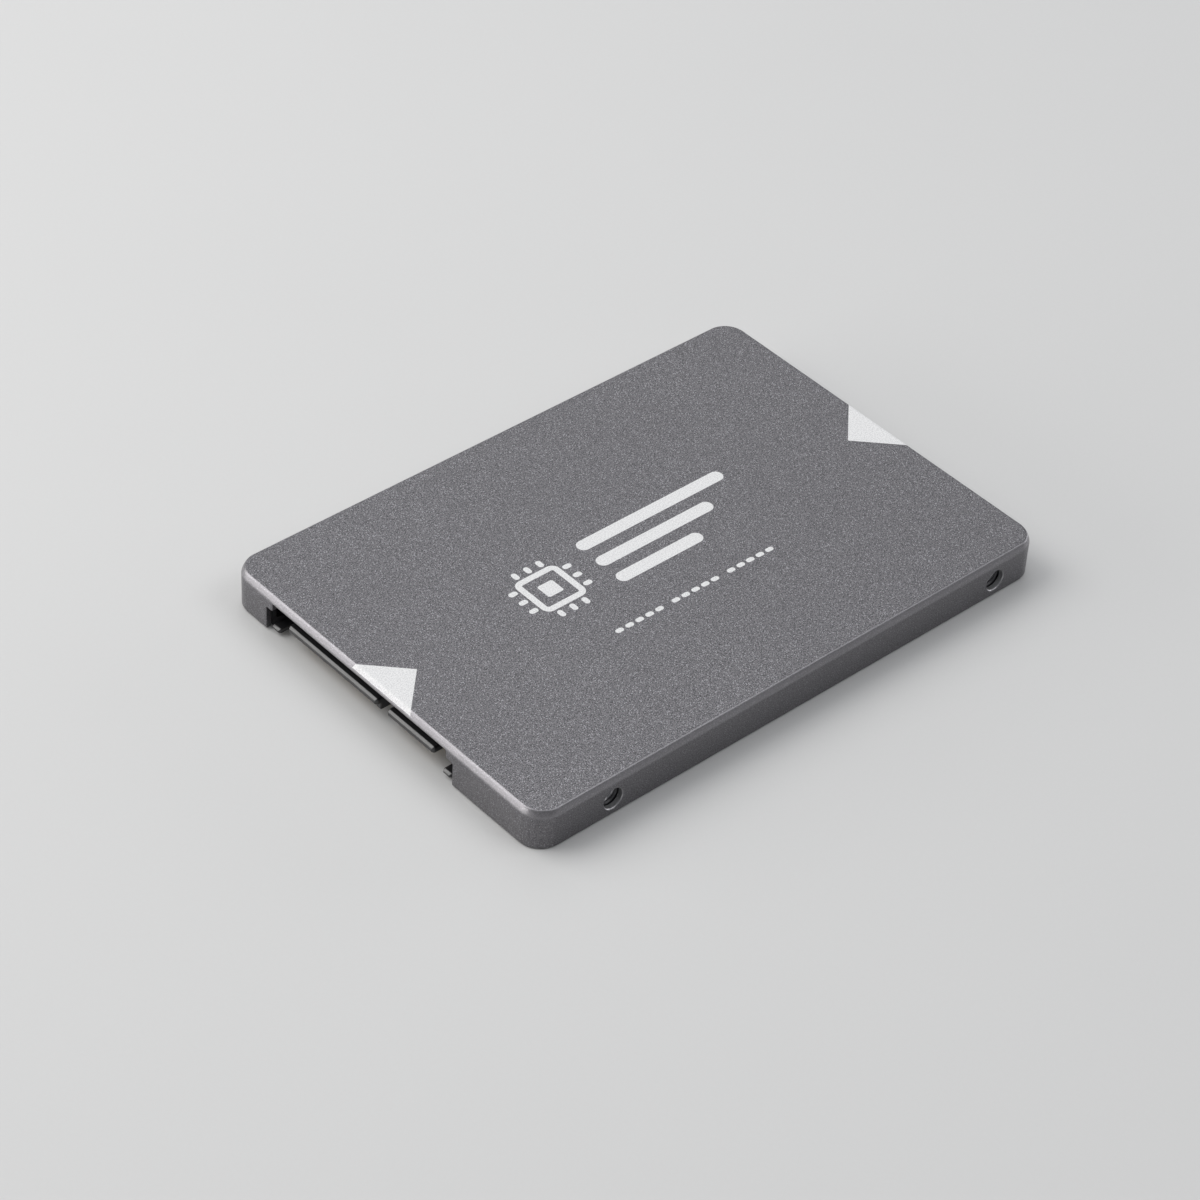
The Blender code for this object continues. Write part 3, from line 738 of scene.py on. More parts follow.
def chipMark():
    # a square frame with a core and three pins on each side
    p = coverPrint
    middle, half = np.array(p["chipMiddle"]), p["chipHalf"]
    foot, top = topFace - p["sunk"], topFace + p["thick"]
    loop = [(0, foot), (0, top), (p["chipFrame"], top), (p["chipFrame"], foot)]
    forms = [
        plate(middle - half, middle + half, p["chipCorner"], loop, closed=True),
        inkPatch(middle - p["coreHalf"], middle + p["coreHalf"], p["coreCorner"]),
    ]
    away = half + p["pinGap"] + p["pinReach"] / 2
    for step in (-1, 0, 1):
        for side in (-1, 1):
            across = np.array((side * away, step * p["pinPitch"]))
            forms.append(pill(middle + across, (p["pinReach"], p["pinWidth"])))
            forms.append(pill(middle + across[::-1], (p["pinWidth"], p["pinReach"])))
    return joined(*forms)


def levelBars():
    # bars that start at one line, each shorter than the one above it
    p = coverPrint
    left = p["barLeft"]
    bars = zip(p["barEnds"], p["barHeights"])
    return joined(*[pill(((left + end) / 2, y), (end - left, p["barWidth"])) for end, y in bars])


def dashRow():
    # one dash repeated at the dash pitch in each group, and the groups at theirs
    p = coverPrint
    one = pill((p["dashStart"] + p["dashSize"][0] / 2, p["dashHeight"]), p["dashSize"])
    groups = np.arange(p["dashGroups"])[:, None] * p["groupPitch"]
    places = (groups + np.arange(p["dashesInGroup"]) * p["dashPitch"]).ravel()
    return shifted(one, *[(x, 0, 0) for x in places])


printForms = {name: triangleForm(*sizes) for name, sizes in printTriangles.items()}
printForms.update(chipMark=chipMark(), levelBars=levelBars(), dashRow=dashRow())
for name, form in printForms.items():
    addPiece(name, form, printWhite, body="cover")
print("cover print made")


# tray: a floor with a rim, four bosses, four posts and the lugs that hold the cover

tray = {
    "rim": 0.8 * mm,
    "rimHeight": 2.6 * mm,
    "floor": 1.0 * mm,
    "hem": 0.25 * mm,
    "bossWidth": 7.4 * mm,
    "bossDepth": 6.2 * mm,
    "bossHeight": 5.6 * mm,
    "bossRound": 0.7 * mm,
    "bossEdge": 0.2 * mm,
    "postRadius": 2.3 * mm,
    "postFillet": 0.3 * mm,
    "postHole": 1.05 * mm,
    "postTop": boardLow[2] - 0.1 * mm,
    "postsX": (-35.5 * mm, 11.5 * mm),
    "postsY": (-24.3 * mm, 24.3 * mm),
    "notchHalf": 21.6 * mm,
    "notchEnd": -43.8 * mm,
    "notchCorner": 0.6 * mm,
    "sunk": 0.5 * mm,
    "bottomHoleFromSide": 4.065 * mm,
    "bottomHoleDepth": 4.2 * mm,
    "sideHoleDepth": 4.4 * mm,
    "holeFlare": 0.2 * mm,
    "postEdge": 0.1 * mm,
    "past": 1.0 * mm,
    "recess": 0.35 * mm,
    "recessMargin": 0.3 * mm,
    "recessCorner": 2.3 * mm,
}
bore = {
    "crest": 1.24 * mm,
    "root": 1.49 * mm,
    "outside": 1.56 * mm,
    "hole": 1.5 * mm,
    "pitch": 0.5 * mm,
    "rowsPerTurn": 8,
    "sides": 40,
    "setBack": 0.22 * mm,
    "sideDepth": 2.55 * mm,
    "bottomDepth": 1.2 * mm,
}
postPlaces = [(x, y) for x in tray["postsX"] for y in tray["postsY"]]


def traySection():
    # (inset, height) from the underside up the outside, over the rim and down to the floor
    t = tray
    corners = [
        (t["hem"] + 0.6 * mm, 0),
        (0, 0),
        (0, t["rimHeight"]),
        (t["rim"], t["rimHeight"]),
        (t["rim"], t["floor"]),
        (t["rim"] + 0.9 * mm, t["floor"]),
    ]
    return softened(corners, (0, t["hem"], 0.15 * mm, 0.15 * mm, 0.35 * mm, 0), 5, closed=False)


def bossForm(x, side):
    # a block against the long side's wall, its top edge eased
    t = tray
    outer, inner = side * trayHead[1], side * (trayHead[1] - t["bossDepth"])
    low, high = (x - t["bossWidth"] / 2, min(outer, inner)), (x + t["bossWidth"] / 2, max(outer, inner))
    top, edge = t["bossHeight"], t["bossEdge"]
    stages = [(0, t["floor"] - t["sunk"]), (0, top - edge), (0.3 * edge, top - 0.3 * edge), (edge, top)]
    return plate(low, high, t["bossRound"], stages, steps=6)


def postForm(x, y):
    # a round post, widened to the floor by a fillet and eased at its top
    t = tray
    foot, top, edge = t["floor"], t["postTop"], t["postEdge"]
    radius, fillet = t["postRadius"], t["postFillet"]
    profile = [
        (radius + fillet, foot - t["sunk"]),
        (radius + fillet, foot),
        (radius + 0.3 * fillet, foot + 0.3 * fillet),
        (radius, foot + fillet),
        (radius, top - edge),
        (radius - edge, top),
    ]
    return turned(profile, (x, y), steps=36)


def threadedSleeve(depth, centre, start, way, axis):
    # inner radius = crest + height * |2 frac(s / pitch - a / 2 pi) - 1| at depth s; the outside is plain
    b = bore
    along = np.linspace(0, depth, round(depth / b["pitch"] * b["rowsPerTurn"]))[:, None]
    angle = (np.arange(b["sides"]) * 2 * math.pi / b["sides"])[None, :]
    wave = np.abs(2 * np.mod(along / b["pitch"] - angle / (2 * math.pi), 1) - 1)
    inner = b["crest"] + (b["root"] - b["crest"]) * wave
    radii = np.concatenate([inner, np.full((2, b["sides"]), b["outside"])])
    heights = start + way * np.concatenate([along[:, 0], [depth, 0]])
    circle = np.stack([np.cos(angle), np.sin(angle)], axis=-1)
    rings = np.array(centre) + radii[:, :, None] * circle
    return ringed(rings[::-way], heights[::-way], axis, closed=True)


def plugNotch():
    # a tool that opens the rim and floor behind the plug
    t = tray
    half, past = t["notchHalf"], t["past"]
    low, high = (wallFoot[0] - past, plugMiddle - half), (t["notchEnd"], plugMiddle + half)
    return plate(low, high, t["notchCorner"], [(0, -past), (0, t["bossHeight"] + past)], steps=6)


def labelRecess():
    # a shallow pocket for the label, opened out at its mouth
    t = tray
    stages = [(-0.2 * mm, -0.1 * mm), (0.1 * mm, 0.1 * mm), (0.1 * mm, t["recess"])]
    low, high = labelLow[:2] - t["recessMargin"], labelHigh[:2] + t["recessMargin"]
    return plate(low, high, t["recessCorner"], stages)


def makeTray():
    # the shell with its bosses, posts and lugs, less the notch, the recess and the holes; then the threads
    t, b = tray, bore
    form = plate(trayFoot, trayHead, cover["corner"] - trayInset, traySection(), steps=14)
    shell = solid("trayShell", form)
    carve(shell, "UNION", *[bossForm(*place) for place in bossPlaces])
    carve(shell, "UNION", *[postForm(*place) for place in postPlaces])
    carve(shell, "UNION", *lugForms(lugs["proud"], 0))
    carve(shell, "DIFFERENCE", plugNotch())
    carve(shell, "DIFFERENCE", labelRecess())
    bottoms, across, pilots, sleeves = [], [], [], []
    face, deep = trayHead[1], wallHead[1] - t["sideHoleDepth"]
    for x, side in bossPlaces:
        under, beside = (x, side * (wallHead[1] - t["bottomHoleFromSide"])), (cover["holeHeight"], x)
        bottoms.append(flaredBore(b["hole"], t["holeFlare"], 0, t["bottomHoleDepth"], under))
        across.append(flaredBore(b["hole"], t["holeFlare"], side * face, side * deep, beside, "y"))
        sleeves.append(threadedSleeve(b["sideDepth"], beside, side * (face - b["setBack"]), -side, "y"))
        sleeves.append(threadedSleeve(b["bottomDepth"], under, b["setBack"], 1, "z"))
    for place in postPlaces:
        end = t["floor"] - 0.02 * mm
        pilots.append(flaredBore(t["postHole"], t["postEdge"], t["postTop"], end, place, steps=24))
    for tools in (bottoms, across, pilots):
        carve(shell, "DIFFERENCE", *tools)
    finishPiece(shell, trayMetal, slot="tray_metal", replaced=["base_tray"])
    addPiece("mountThreads", joined(*sleeves), threadMetal, slot="tray_metal", crease=50)


makeTray()
print("tray made")


# label let into the underside, with plain bars only

label = {
    "corner": 2.0 * mm,
    "roll": 0.03 * mm,
    "ink": 0.008 * mm,
    "margin": 4.0 * mm,
    "band": 7.0 * mm,
    "rows": 8,
    "rowsFrom": 11.5 * mm,
    "rowPitch": 2.6 * mm,
    "rowHeight": 1.1 * mm,
    "headWidth": 7.0 * mm,
    "headGap": 2.0 * mm,
    "stripes": 28,
    "stripesWidth": 30.0 * mm,
    "stripeFoot": 1.0 * mm,
    "stripeHeight": 8.0 * mm,
}


def labelPatch(low, high):
    # a rounded rectangle of ink that stands a little below the label's face
    face, ink = labelLow[2], label["ink"]
    radius = min(0.35 * mm, 0.45 * min(np.subtract(high, low)))
    stages = [(0.3 * ink, face - ink), (0, face - 0.6 * ink), (0, face + 0.01 * mm)]
    return plate(low, high, radius, stages, steps=4)


def labelRows(left, high):
    # each row is a short bar and a longer one, whose length swings with the row's number
    rows = []
    for row in range(label["rows"]):
        top = high - label["rowsFrom"] - row * label["rowPitch"]
        foot, start = top - label["rowHeight"], left + label["headWidth"]
        end = left + (24 + 8 * math.sin(2.3 * row)) * mm
        rows.append(labelPatch((left, foot), (start, top)))
        rows.append(labelPatch((start + label["headGap"], foot), (end, top)))
    return rows


def labelStripes(right, low):
    # upright stripes of two widths and two gaps, in an order set by two waves
    place, foot, stripes = right - label["stripesWidth"], low + label["stripeFoot"], []
    for stripe in range(label["stripes"]):
        wide = (0.35 + 0.3 * (math.sin(5.1 * stripe) > 0.2)) * mm
        stripes.append(labelPatch((place, foot), (place + wide, foot + label["stripeHeight"])))
        place += wide + (0.4 + 0.35 * (math.cos(3.7 * stripe) > 0)) * mm
    return stripes


def makeLabel():
    # the sheet with its edges rolled, a band along one side, and the rows and stripes of ink
    sheet = plate(labelLow, labelHigh, label["corner"], rolled(labelLow[2], labelHigh[2], label["roll"]))
    addPiece("ratingLabel", sheet, labelWhite, slot="label_paper", replaced=["rating_label"])
    (left, low), (right, high) = labelLow[:2] + label["margin"], labelHigh[:2] - label["margin"]
    band = labelPatch((left, high - label["band"]), (right, high))
    bars = joined(*labelRows(left, high), *labelStripes(right, low))
    addPiece("labelBand", band, inkGrey, slot="label_paper")
    addPiece("labelBars", bars, inkDark, slot="label_paper")


makeLabel()
print("label made")


# circuit board with its tracks, vias, pads and small parts

board = {
    "corner": 1.0 * mm,
    "roll": 0.05 * mm,
    "screwHole": 1.15 * mm,
    "padRadius": 2.35 * mm,
    "padRise": 0.02 * mm,
    "trackWidth": 0.16 * mm,
    "trackPitch": 0.36 * mm,
    "trackRise": 0.018 * mm,
    "trackEase": 0.03 * mm,
    "viaRadius": 0.3 * mm,
    "viaHole": 0.12 * mm,
    "sunk": 0.01 * mm,
}
# start, end (x, y in mm) and how many tracks run side by side
trackRuns = (
    ((-38.9, -9.4), (-34.6, 0.2), 8),
    ((-38.9, 6.0), (-34.6, 5.0), 10),
    ((-19.6, 6.5), (-16.9, 8.5), 9),
    ((-19.6, -0.5), (-16.9, -4.5), 9),
    ((-19.6, 3.0), (13.4, 0.0), 6),
    ((-31.2, -11.0), (-28.8, -14.0), 5),
    ((-24.2, -14.0), (-16.9, -16.5), 7),
    ((-19.4, 15.0), (-16.9, 13.0), 6),
    ((-16.0, 21.6), (8.0, 22.8), 7),
    ((-16.0, -21.6), (8.0, -22.8), 7),
    ((-31.0, 22.5), (-19.0, 23.4), 5),
)
# rows of small parts: first place (mm), step along the row (mm), how many, turned across the row or not
partRows = (
    ((-18.2, -1.2), (0, 1.5), 6, True),
    ((-33.0, 12.0), (0, 1.5), 6, False),
    ((-35.8, -3.0), (0, 1.5), 3, False),
    ((-32.0, -6.2), (1.5, 0), 5, True),
    ((-30.0, -8.8), (1.5, 0), 4, True),
    ((-15.0, 20.8), (2.0, 0), 13, True),
    ((-15.0, -20.8), (2.0, 0), 13, True),
    ((-15.5, 0.0), (3.0, 0), 3, False),
    ((-23.0, -17.5), (0, -1.5), 4, False),
    ((-29.5, -17.5), (0, -1.5), 4, False),
    ((-37.5, 22.0), (1.5, 0), 1, True),
    ((-33.8, 22.8), (1.6, 0), 8, True),
)
smallPart = {
    "length": 1.0 * mm,
    "width": 0.5 * mm,
    "height": 0.45 * mm,
    "rise": 0.03 * mm,
    "end": 0.24 * mm,
    "skin": 0.03 * mm,
    "solder": 0.12 * mm,
    "solderHeight": 0.2 * mm,
}


def trackBundle(start, end, count):
    # each track runs straight, then slantwise, then straight; the whole bundle keeps its pitch
    b = board
    (x, y), (endX, endY) = np.array(start) * mm, np.array(end) * mm
    slant = min(abs(endY - y), 0.7 * (endX - x))
    bend = (endX - x - slant) / 2
    face = boardFace + b["trackRise"]
    stages = [(0, boardFace - b["sunk"]), (0, face - 0.4 * b["trackRise"]), (b["trackEase"], face)]
    forms = []
    for shift in (np.arange(count) - (count - 1) / 2) * b["trackPitch"]:
        turn = x + bend + 0.4 * shift * (1 if endY < y else -1)
        path = [(x, y + shift), (turn, y + shift), (turn + slant, endY + shift), (endX, endY + shift)]
        forms.append(lifted(strip(path, b["trackWidth"]), stages))
    return forms


def smallPartForms(across):
    # a block with wrapped metal ends on fillets of solder, its length along X, or along Y where across
    p = smallPart
    half = np.array((p["length"], p["width"])) / 2
    inner = half - np.array((0.6 * p["end"], 0))
    foot, reach, skirt = boardFace + p["rise"], half[1] + p["skin"], p["solder"]
    top = foot + p["height"]
    body = plate(-inner, inner, 0.05 * mm, rolled(foot, top, 0.04 * mm, 3), steps=2)
    wrap = rolled(foot - 0.02 * mm, top + p["skin"], 0.06 * mm, 3)
    fillet = [
        (0, boardFace - board["sunk"]),
        (0.03 * mm, boardFace + 0.05 * mm),
        (0.1 * mm + skirt, boardFace + p["solderHeight"]),
    ]
    ends = []
    for low, high in ((-half[0], p["end"] - half[0]), (half[0] - p["end"], half[0])):
        ends.append(plate((low, -reach), (high, reach), 0.07 * mm, wrap, steps=2))
        edge = reach + 0.1 * mm
        ends.append(plate((low - skirt, -edge), (high + skirt, edge), 0.2 * mm, fillet, steps=3))
    forms = [body, joined(*ends)]
    if not across:
        return forms
    return [(points[:, [1, 0, 2]] * np.array((-1, 1, 1)), faces) for points, faces in forms]


def ringPad(centre, inner, outer):
    # a flat ring a little proud of the board
    foot, face = boardFace - board["sunk"], boardFace + board["padRise"]
    loop = [(outer, foot), (outer, face), (inner, face), (inner, foot)]
    return turned(loop, centre, steps=28, closed=True)


def makePlate():
    # the bare board, its edges rolled, less the four screw holes
    b = board
    form = plate(boardLow, boardHigh, b["corner"], rolled(boardLow[2], boardHigh[2], b["roll"], 3), steps=6)
    sheet = solid("boardPlate", form)
    through = [(b["screwHole"], boardLow[2] - 1 * mm), (b["screwHole"], boardHigh[2] + 1 * mm)]
    carve(sheet, "DIFFERENCE", *[turned(through, place) for place in postPlaces])
    finishPiece(sheet, boardGreen, slot="board_laminate", replaced=["circuit_board"])


def makeCopper():
    # the tracks, the pads round the screws, and a via at each end of every fourth track
    b = board
    tracks = [form for run in trackRuns for form in trackBundle(*run)]
    pads = [ringPad(place, b["screwHole"] + 0.05 * mm, b["padRadius"]) for place in postPlaces]
    for *ends, count in trackRuns:
        for x, y in ends:
            for across in (np.arange(0, count, 4) - (count - 1) / 2) * b["trackPitch"]:
                pads.append(ringPad((x * mm, y * mm + across), b["viaHole"], b["viaRadius"]))
    addPiece("boardTracks", joined(*tracks), trackGreen, slot="board_laminate")
    addPiece("boardPads", joined(*pads), contactGold, slot="contact_gold")


def makeSmallParts():
    # place = first + n * step along each row; all bodies are one piece and all ends another
    bodies, ends = [], []
    for first, step, count, across in partRows:
        places = (np.array(first) + np.arange(count)[:, None] * np.array(step)) * mm
        places = np.pad(places, ((0, 0), (0, 1)))
        body, end = smallPartForms(across)
        bodies.append(shifted(body, *places))
        ends.append(shifted(end, *places))
    addPiece("smallPartBodies", joined(*bodies), ceramicTan, slot="capacitor_resin")
    addPiece("smallPartEnds", joined(*ends), solderTin, slot="plated_steel")


makePlate()
makeCopper()
makeSmallParts()
print("board made")


# packages on the board

package = {
    "corner": 0.2 * mm,
    "bevel": 0.12 * mm,
    "carrier": 0.30 * mm,
    "step": 0.05 * mm,
    "mark": 0.006 * mm,
    "dotShare": 0.05,
    "barShares": (0.62, 0.46, 0.54),
}
inductor = {
    "corner": 0.55 * mm,
    "standoff": 0.08 * mm,
    "roll": 0.15 * mm,
    "grooveShares": (0.80, 0.68),
    "grooveDepth": 0.18 * mm,
    "tabHalf": 1.1 * mm,
    "tabUnder": 1.2 * mm,
    "tabUp": 0.9 * mm,
    "tabThick": 0.1 * mm,
}
capacitor = {
    "corner": 0.12 * mm,
    "standoff": 0.06 * mm,
    "draft": 0.07 * mm,
    "partingShare": 0.55,
    "tabShare": 0.72,
    "tabUnder": 0.8 * mm,
    "tabOver": 0.3 * mm,
    "tabThick": 0.08 * mm,
    "bandFrom": 0.25 * mm,
    "bandWidth": 0.55 * mm,
    "bandMargin": 0.16 * mm,
}
chipNodes = ["controller_package", *[f"nand_package_{number}" for number in range(1, 5)], "regulator_chip"]


def pieceName(node):
    # nand_package_1 becomes nandPackage1
    first, *others = node.split("_")
    return first + "".join(word.capitalize() for word in others)


def chipForm(low, high):
    # a thin carrier with the resin set a step in from its edge, bevelled at the top
    p = package
    bevel, lip = p["bevel"], low[2] + p["carrier"]
    stages = [
        (bevel + 0.3 * mm, low[2]),
        (0.03 * mm, low[2]),
        (0, lip - 0.02 * mm),
        (p["step"], lip),
        (p["step"], high[2] - bevel),
        (bevel, high[2]),
        (bevel + 0.3 * mm, high[2]),
    ]
    return plate(low, high, p["corner"], stages, steps=4)


def markPatch(low, high, face, radius):
    # a rounded rectangle a hair proud of the face, its edge eased
    rise = package["mark"]
    stages = [(0, face - 0.01 * mm), (0, face + 0.5 * rise), (0.5 * rise, face + rise)]
    return plate(low, high, radius, stages, steps=5)


def chipMarks(low, high):
    # a dot for the first ball and plain bars where the maker's lines would be
    size = high[:2] - low[:2]
    dot = package["dotShare"] * min(size)
    place = np.array((low[0] + 0.12 * size[0], high[1] - 0.12 * size[1]))
    marks = [markPatch(place - dot, place + dot, high[2], 0.98 * dot)]
    start, thick = low[0] + 0.18 * size[0], 0.035 * size[1]
    for row, share in enumerate(package["barShares"]):
        y = high[1] - (0.34 + 0.15 * row) * size[1]
        end = start + share * size[0]
        marks.append(markPatch((start, y - thick), (end, y + thick), high[2], 0.8 * thick))
    return marks


def makeChips():
    # a form for each node's box, and one piece for all their marks
    marks = []
    for node in chipNodes:
        low, high = boxOf(node)
        addPiece(pieceName(node), chipForm(low, high), resinBlack, slot="chip_resin", replaced=[node])
        marks += chipMarks(low, high)
    addPiece("chipMarks", joined(*marks), laserGrey, slot="chip_resin")


def makeInductor(node):
    # a pressed block with round corners and a ring groove, on two folded terminals
    i = inductor
    low, high = boxOf(node)
    middle, half = (low + high) / 2, (high - low) / 2
    form = plate(low, high, i["corner"], rolled(low[2] + i["standoff"], high[2], i["roll"]), steps=6)
    block = solid(pieceName(node), form)
    outer, inner = (share * half[0] for share in i["grooveShares"])
    deep, past = high[2] - i["grooveDepth"], high[2] + 0.2 * mm
    groove = [(outer, deep), (outer, past), (inner, past), (inner, deep)]
    carve(block, "DIFFERENCE", turned(groove, middle[:2], steps=48, closed=True))
    finishPiece(block, ferriteGrey, slot="ferrite_block", replaced=[node])
    foot = low[2] + 0.07 * mm
    stages = eased(middle[1] - i["tabHalf"], middle[1] + i["tabHalf"], 0.02 * mm, 0.05 * mm)
    tabs = []
    for side in (-1, 1):
        x = middle[0] + side * half[0]
        outside = x + side * 0.02 * mm
        path = [(foot, x - side * i["tabUnder"]), (foot, outside), (low[2] + i["tabUp"], outside)]
        tabs.append(folded(path, 0.12 * mm, 4, i["tabThick"], stages))
    return tabs


def makeCapacitor(node):
    # a moulded block, widest at its parting line, with folded ends and a band at its positive end
    c = capacitor
    low, high = boxOf(node)
    middle, half = (low + high) / 2, (high - low) / 2
    foot, parting = low[2] + c["standoff"], low[2] + c["partingShare"] * (high[2] - low[2])
    draft, top = c["draft"], high[2]
    stages = [
        (draft + 0.3 * mm, foot),
        (draft + 0.04 * mm, foot),
        (draft, foot + 0.05 * mm),
        (0.02 * mm, parting - 0.03 * mm),
        (0, parting),
        (0.02 * mm, parting + 0.03 * mm),
        (draft, top - 0.06 * mm),
        (draft + 0.06 * mm, top),
        (draft + 0.3 * mm, top),
    ]
    block = plate(low, high, c["corner"], stages, steps=4)
    addPiece(pieceName(node), block, tantalumAmber, slot="capacitor_resin", replaced=[node])
    reach, under = c["tabShare"] * half[1], foot - 0.01 * mm
    stages = eased(middle[1] - reach, middle[1] + reach, 0.02 * mm, 0.03 * mm)
    tabs = []
    for side in (-1, 1):
        x = middle[0] + side * (half[0] + 0.02 * mm)
        inside, over = x - side * c["tabUnder"], x - side * c["tabOver"]
        path = [(under, inside), (under, x), (parting, x), (parting, over)]
        tabs.append(folded(path, 0.08 * mm, 4, c["tabThick"], stages))
    start, margin = low[0] + c["bandFrom"], c["bandMargin"]
    bandLow, bandHigh = (start, low[1] + margin), (start + c["bandWidth"], high[1] - margin)
    return tabs, markPatch(bandLow, bandHigh, top, 0.08 * mm)


def crystalForm(low, high):
    # a flanged can: low skirt, then the raised lid
    foot, top = low[2], high[2]
    corners = [
        (0.5 * mm, foot),
        (0, foot),
        (0, foot + 0.4 * mm),
        (0.3 * mm, foot + 0.45 * mm),
        (0.36 * mm, top),
        (0.8 * mm, top),
    ]
    cuts = (0, 0.05 * mm, 0.05 * mm, 0.08 * mm, 0.1 * mm, 0)
    return plate(low, high, 0.45 * mm, softened(corners, cuts, 4, closed=False))


def makeSmallPackages():
    # the inductors and capacitors, their terminals as one piece, then the crystal and the heat pad
    terminals, bands = makeInductor("power_inductor_1") + makeInductor("power_inductor_2"), []
    for number in range(1, 7):
        tabs, band = makeCapacitor(f"hold_up_capacitor_{number}")
        terminals += tabs
        bands.append(band)
    addPiece("foldedTerminals", joined(*terminals), solderTin, slot="plated_steel")
    addPiece("polarityBands", joined(*bands), ferriteGrey, slot="capacitor_resin")
    can = crystalForm(*boxOf("clock_crystal"))
    addPiece("clockCrystal", can, platedSteel, slot="plated_steel", replaced=["clock_crystal"])
    low, high = boxOf("thermal_pad")
    pad = plate(low, high, 0.6 * mm, rolled(low[2], high[2], 0.22 * mm, 6), steps=6)
    addPiece("thermalPad", pad, padBlue, slot="pad_silicone", replaced=["thermal_pad"])


makeChips()
makeSmallPackages()
print("packages made")


# board screws

screw = {
    "head": 1.9 * mm,
    "shank": 0.8 * mm,
    "rise": 0.7 * mm,
    "pitch": 0.35 * mm,
    "threadDepth": 0.12 * mm,
    "slot": 0.2 * mm,
    "slotReach": 1.05 * mm,
    "slotDepth": 0.45 * mm,
}


def screwProfile(foot, top):
    # (radius, height): a tip, crests and roots by turns, then a head domed up to its flat middle
    w = screw
    seat = top - w["rise"]
    heights = np.arange(foot + 0.3 * mm, seat - 0.35 * mm, w["pitch"] / 2)
    radii = w["shank"] - w["threadDepth"] * (np.arange(len(heights)) % 2)
    corners = [
        (w["shank"], seat),
        (w["head"], seat),
        (w["head"], seat + 0.55 * w["rise"]),
        (0.62 * w["head"], top),
        (0.3 * w["head"], top),
    ]
    head = softened(corners, (0, 0.08 * mm, 0.2 * mm, 0.35 * mm, 0), 5, closed=False)
    return [(0.45 * w["shank"], foot), *zip(radii, heights), (w["shank"], seat - 0.1 * mm), *head]


def makeScrew(number):
    # a turned screw with a tapered cross cut into its head
    node = f"board_screw_{number}"
    low, high = boxOf(node)
    middle = ((low + high) / 2)[:2]
    piece = solid(f"boardScrew{number}", turned(screwProfile(low[2], high[2]), middle, steps=36))
    reach = np.array((screw["slotReach"], screw["slot"]))
    stages = [(0.09 * mm, high[2] - screw["slotDepth"]), (-0.05 * mm, high[2] + 0.3 * mm)]
    for half in (reach, reach[::-1]):
        carve(piece, "DIFFERENCE", plate(middle - half, middle + half, 0.12 * mm, stages, steps=4))
    finishPiece(piece, platedSteel, slot="plated_steel", replaced=[node])


for number in range(1, 5):
    makeScrew(number)
print("screws made")


# plug: body, two tongues with led-in fronts, keys, guide arms, contacts and end tabs

plug = {
    "bodyFront": -44.8 * mm,
    "bodyHeights": (1.1 * mm, 5.3 * mm),
    "bodyCorner": 0.35 * mm,
    "bodyRoll": 0.15 * mm,
    "rooted": 0.5 * mm,
    "front": plugLow[0],
    "span": 33.39 * mm,
    "signal": 10.41 * mm,
    "power": 20.57 * mm,
    "tongue": (2.435 * mm, 3.665 * mm),
    "tongueCorner": 0.3 * mm,
    "leadInset": 0.30 * mm,
    "leadLength": 0.40 * mm,
    "key": 1.1 * mm,
    "keyBack": 0.9 * mm,
    "keyLead": 0.2 * mm,
    "guideHeights": (0.55 * mm, 1.35 * mm),
    "guideHalf": 20.565 * mm,
    "guideWidth": 1.75 * mm,
    "guideCorner": 0.15 * mm,
    "guideInset": 0.25 * mm,
    "guideLead": 0.45 * mm,
}
contact = {"turnUp": 0.4 * mm, "upShare": 0.55, "fold": 0.15 * mm, "thickShare": 0.9, "ease": 0.05 * mm}
tab = {"thick": 0.25 * mm, "fold": 0.3 * mm, "ease": 0.05 * mm}


def tongueSpans():
    # where each tongue begins and ends across the plug
    low, high = plugMiddle - plug["span"] / 2, plugMiddle + plug["span"] / 2
    return {"signal": (low, low + plug["signal"]), "power": (high - plug["power"], high)}


def leadIn(inset, length, root):
    # (inset, x): a flat front, a slanted lead-in, then straight back to the root
    front = plug["front"]
    corners = [(1.15 * inset, front), (inset, front), (0, front + length), (0, root)]
    return softened(corners, (0, 0.06 * mm, 0.12 * mm, 0), 4, closed=False)


def keyForm(left, root):
    # the leg of a tongue's L, set back from its front
    p = plug
    base, head = p["tongue"]
    front, lead = p["front"] + p["keyBack"], p["keyLead"]
    stages = [(lead, front), (0.6 * lead, front), (0, front + lead), (0, root)]
    low, high = (left, base - p["key"]), (left + p["key"], (base + head) / 2)
    return plate(low, high, 0.12 * mm, stages, "x", steps=4)


def makePlug():
    # the body with its tongues, keys and guide arms, all one moulding
    p = plug
    root = p["bodyFront"] + p["rooted"]
    foot, top = p["bodyHeights"]
    back = rolled(p["bodyFront"], plugHigh[0], p["bodyRoll"])
    body = plate((plugLow[1], foot), (plugHigh[1], top), p["bodyCorner"], back, "x", steps=5)
    housing = solid("plugHousing", body)
    base, head = p["tongue"]
    lead = leadIn(p["leadInset"], p["leadLength"], root)
    for name, (left, right) in tongueSpans().items():
        tongue = plate((left, base), (right, head), p["tongueCorner"], lead, "x", steps=5)
        carve(housing, "UNION", tongue)
        carve(housing, "UNION", keyForm(right - p["key"] if name == "signal" else left, root))
    foot, top = p["guideHeights"]
    lead = leadIn(p["guideInset"], p["guideLead"], root)
    arms = []
    for outer in (-p["guideHalf"], p["guideHalf"] - p["guideWidth"]):
        low = plugMiddle + outer
        high = low + p["guideWidth"]
        arms.append(plate((low, foot), (high, top), p["guideCorner"], lead, "x", steps=4))
    carve(housing, "UNION", *arms)
    finishPiece(housing, plugBlack, slot="plug_plastic", replaced=["plug_housing"])


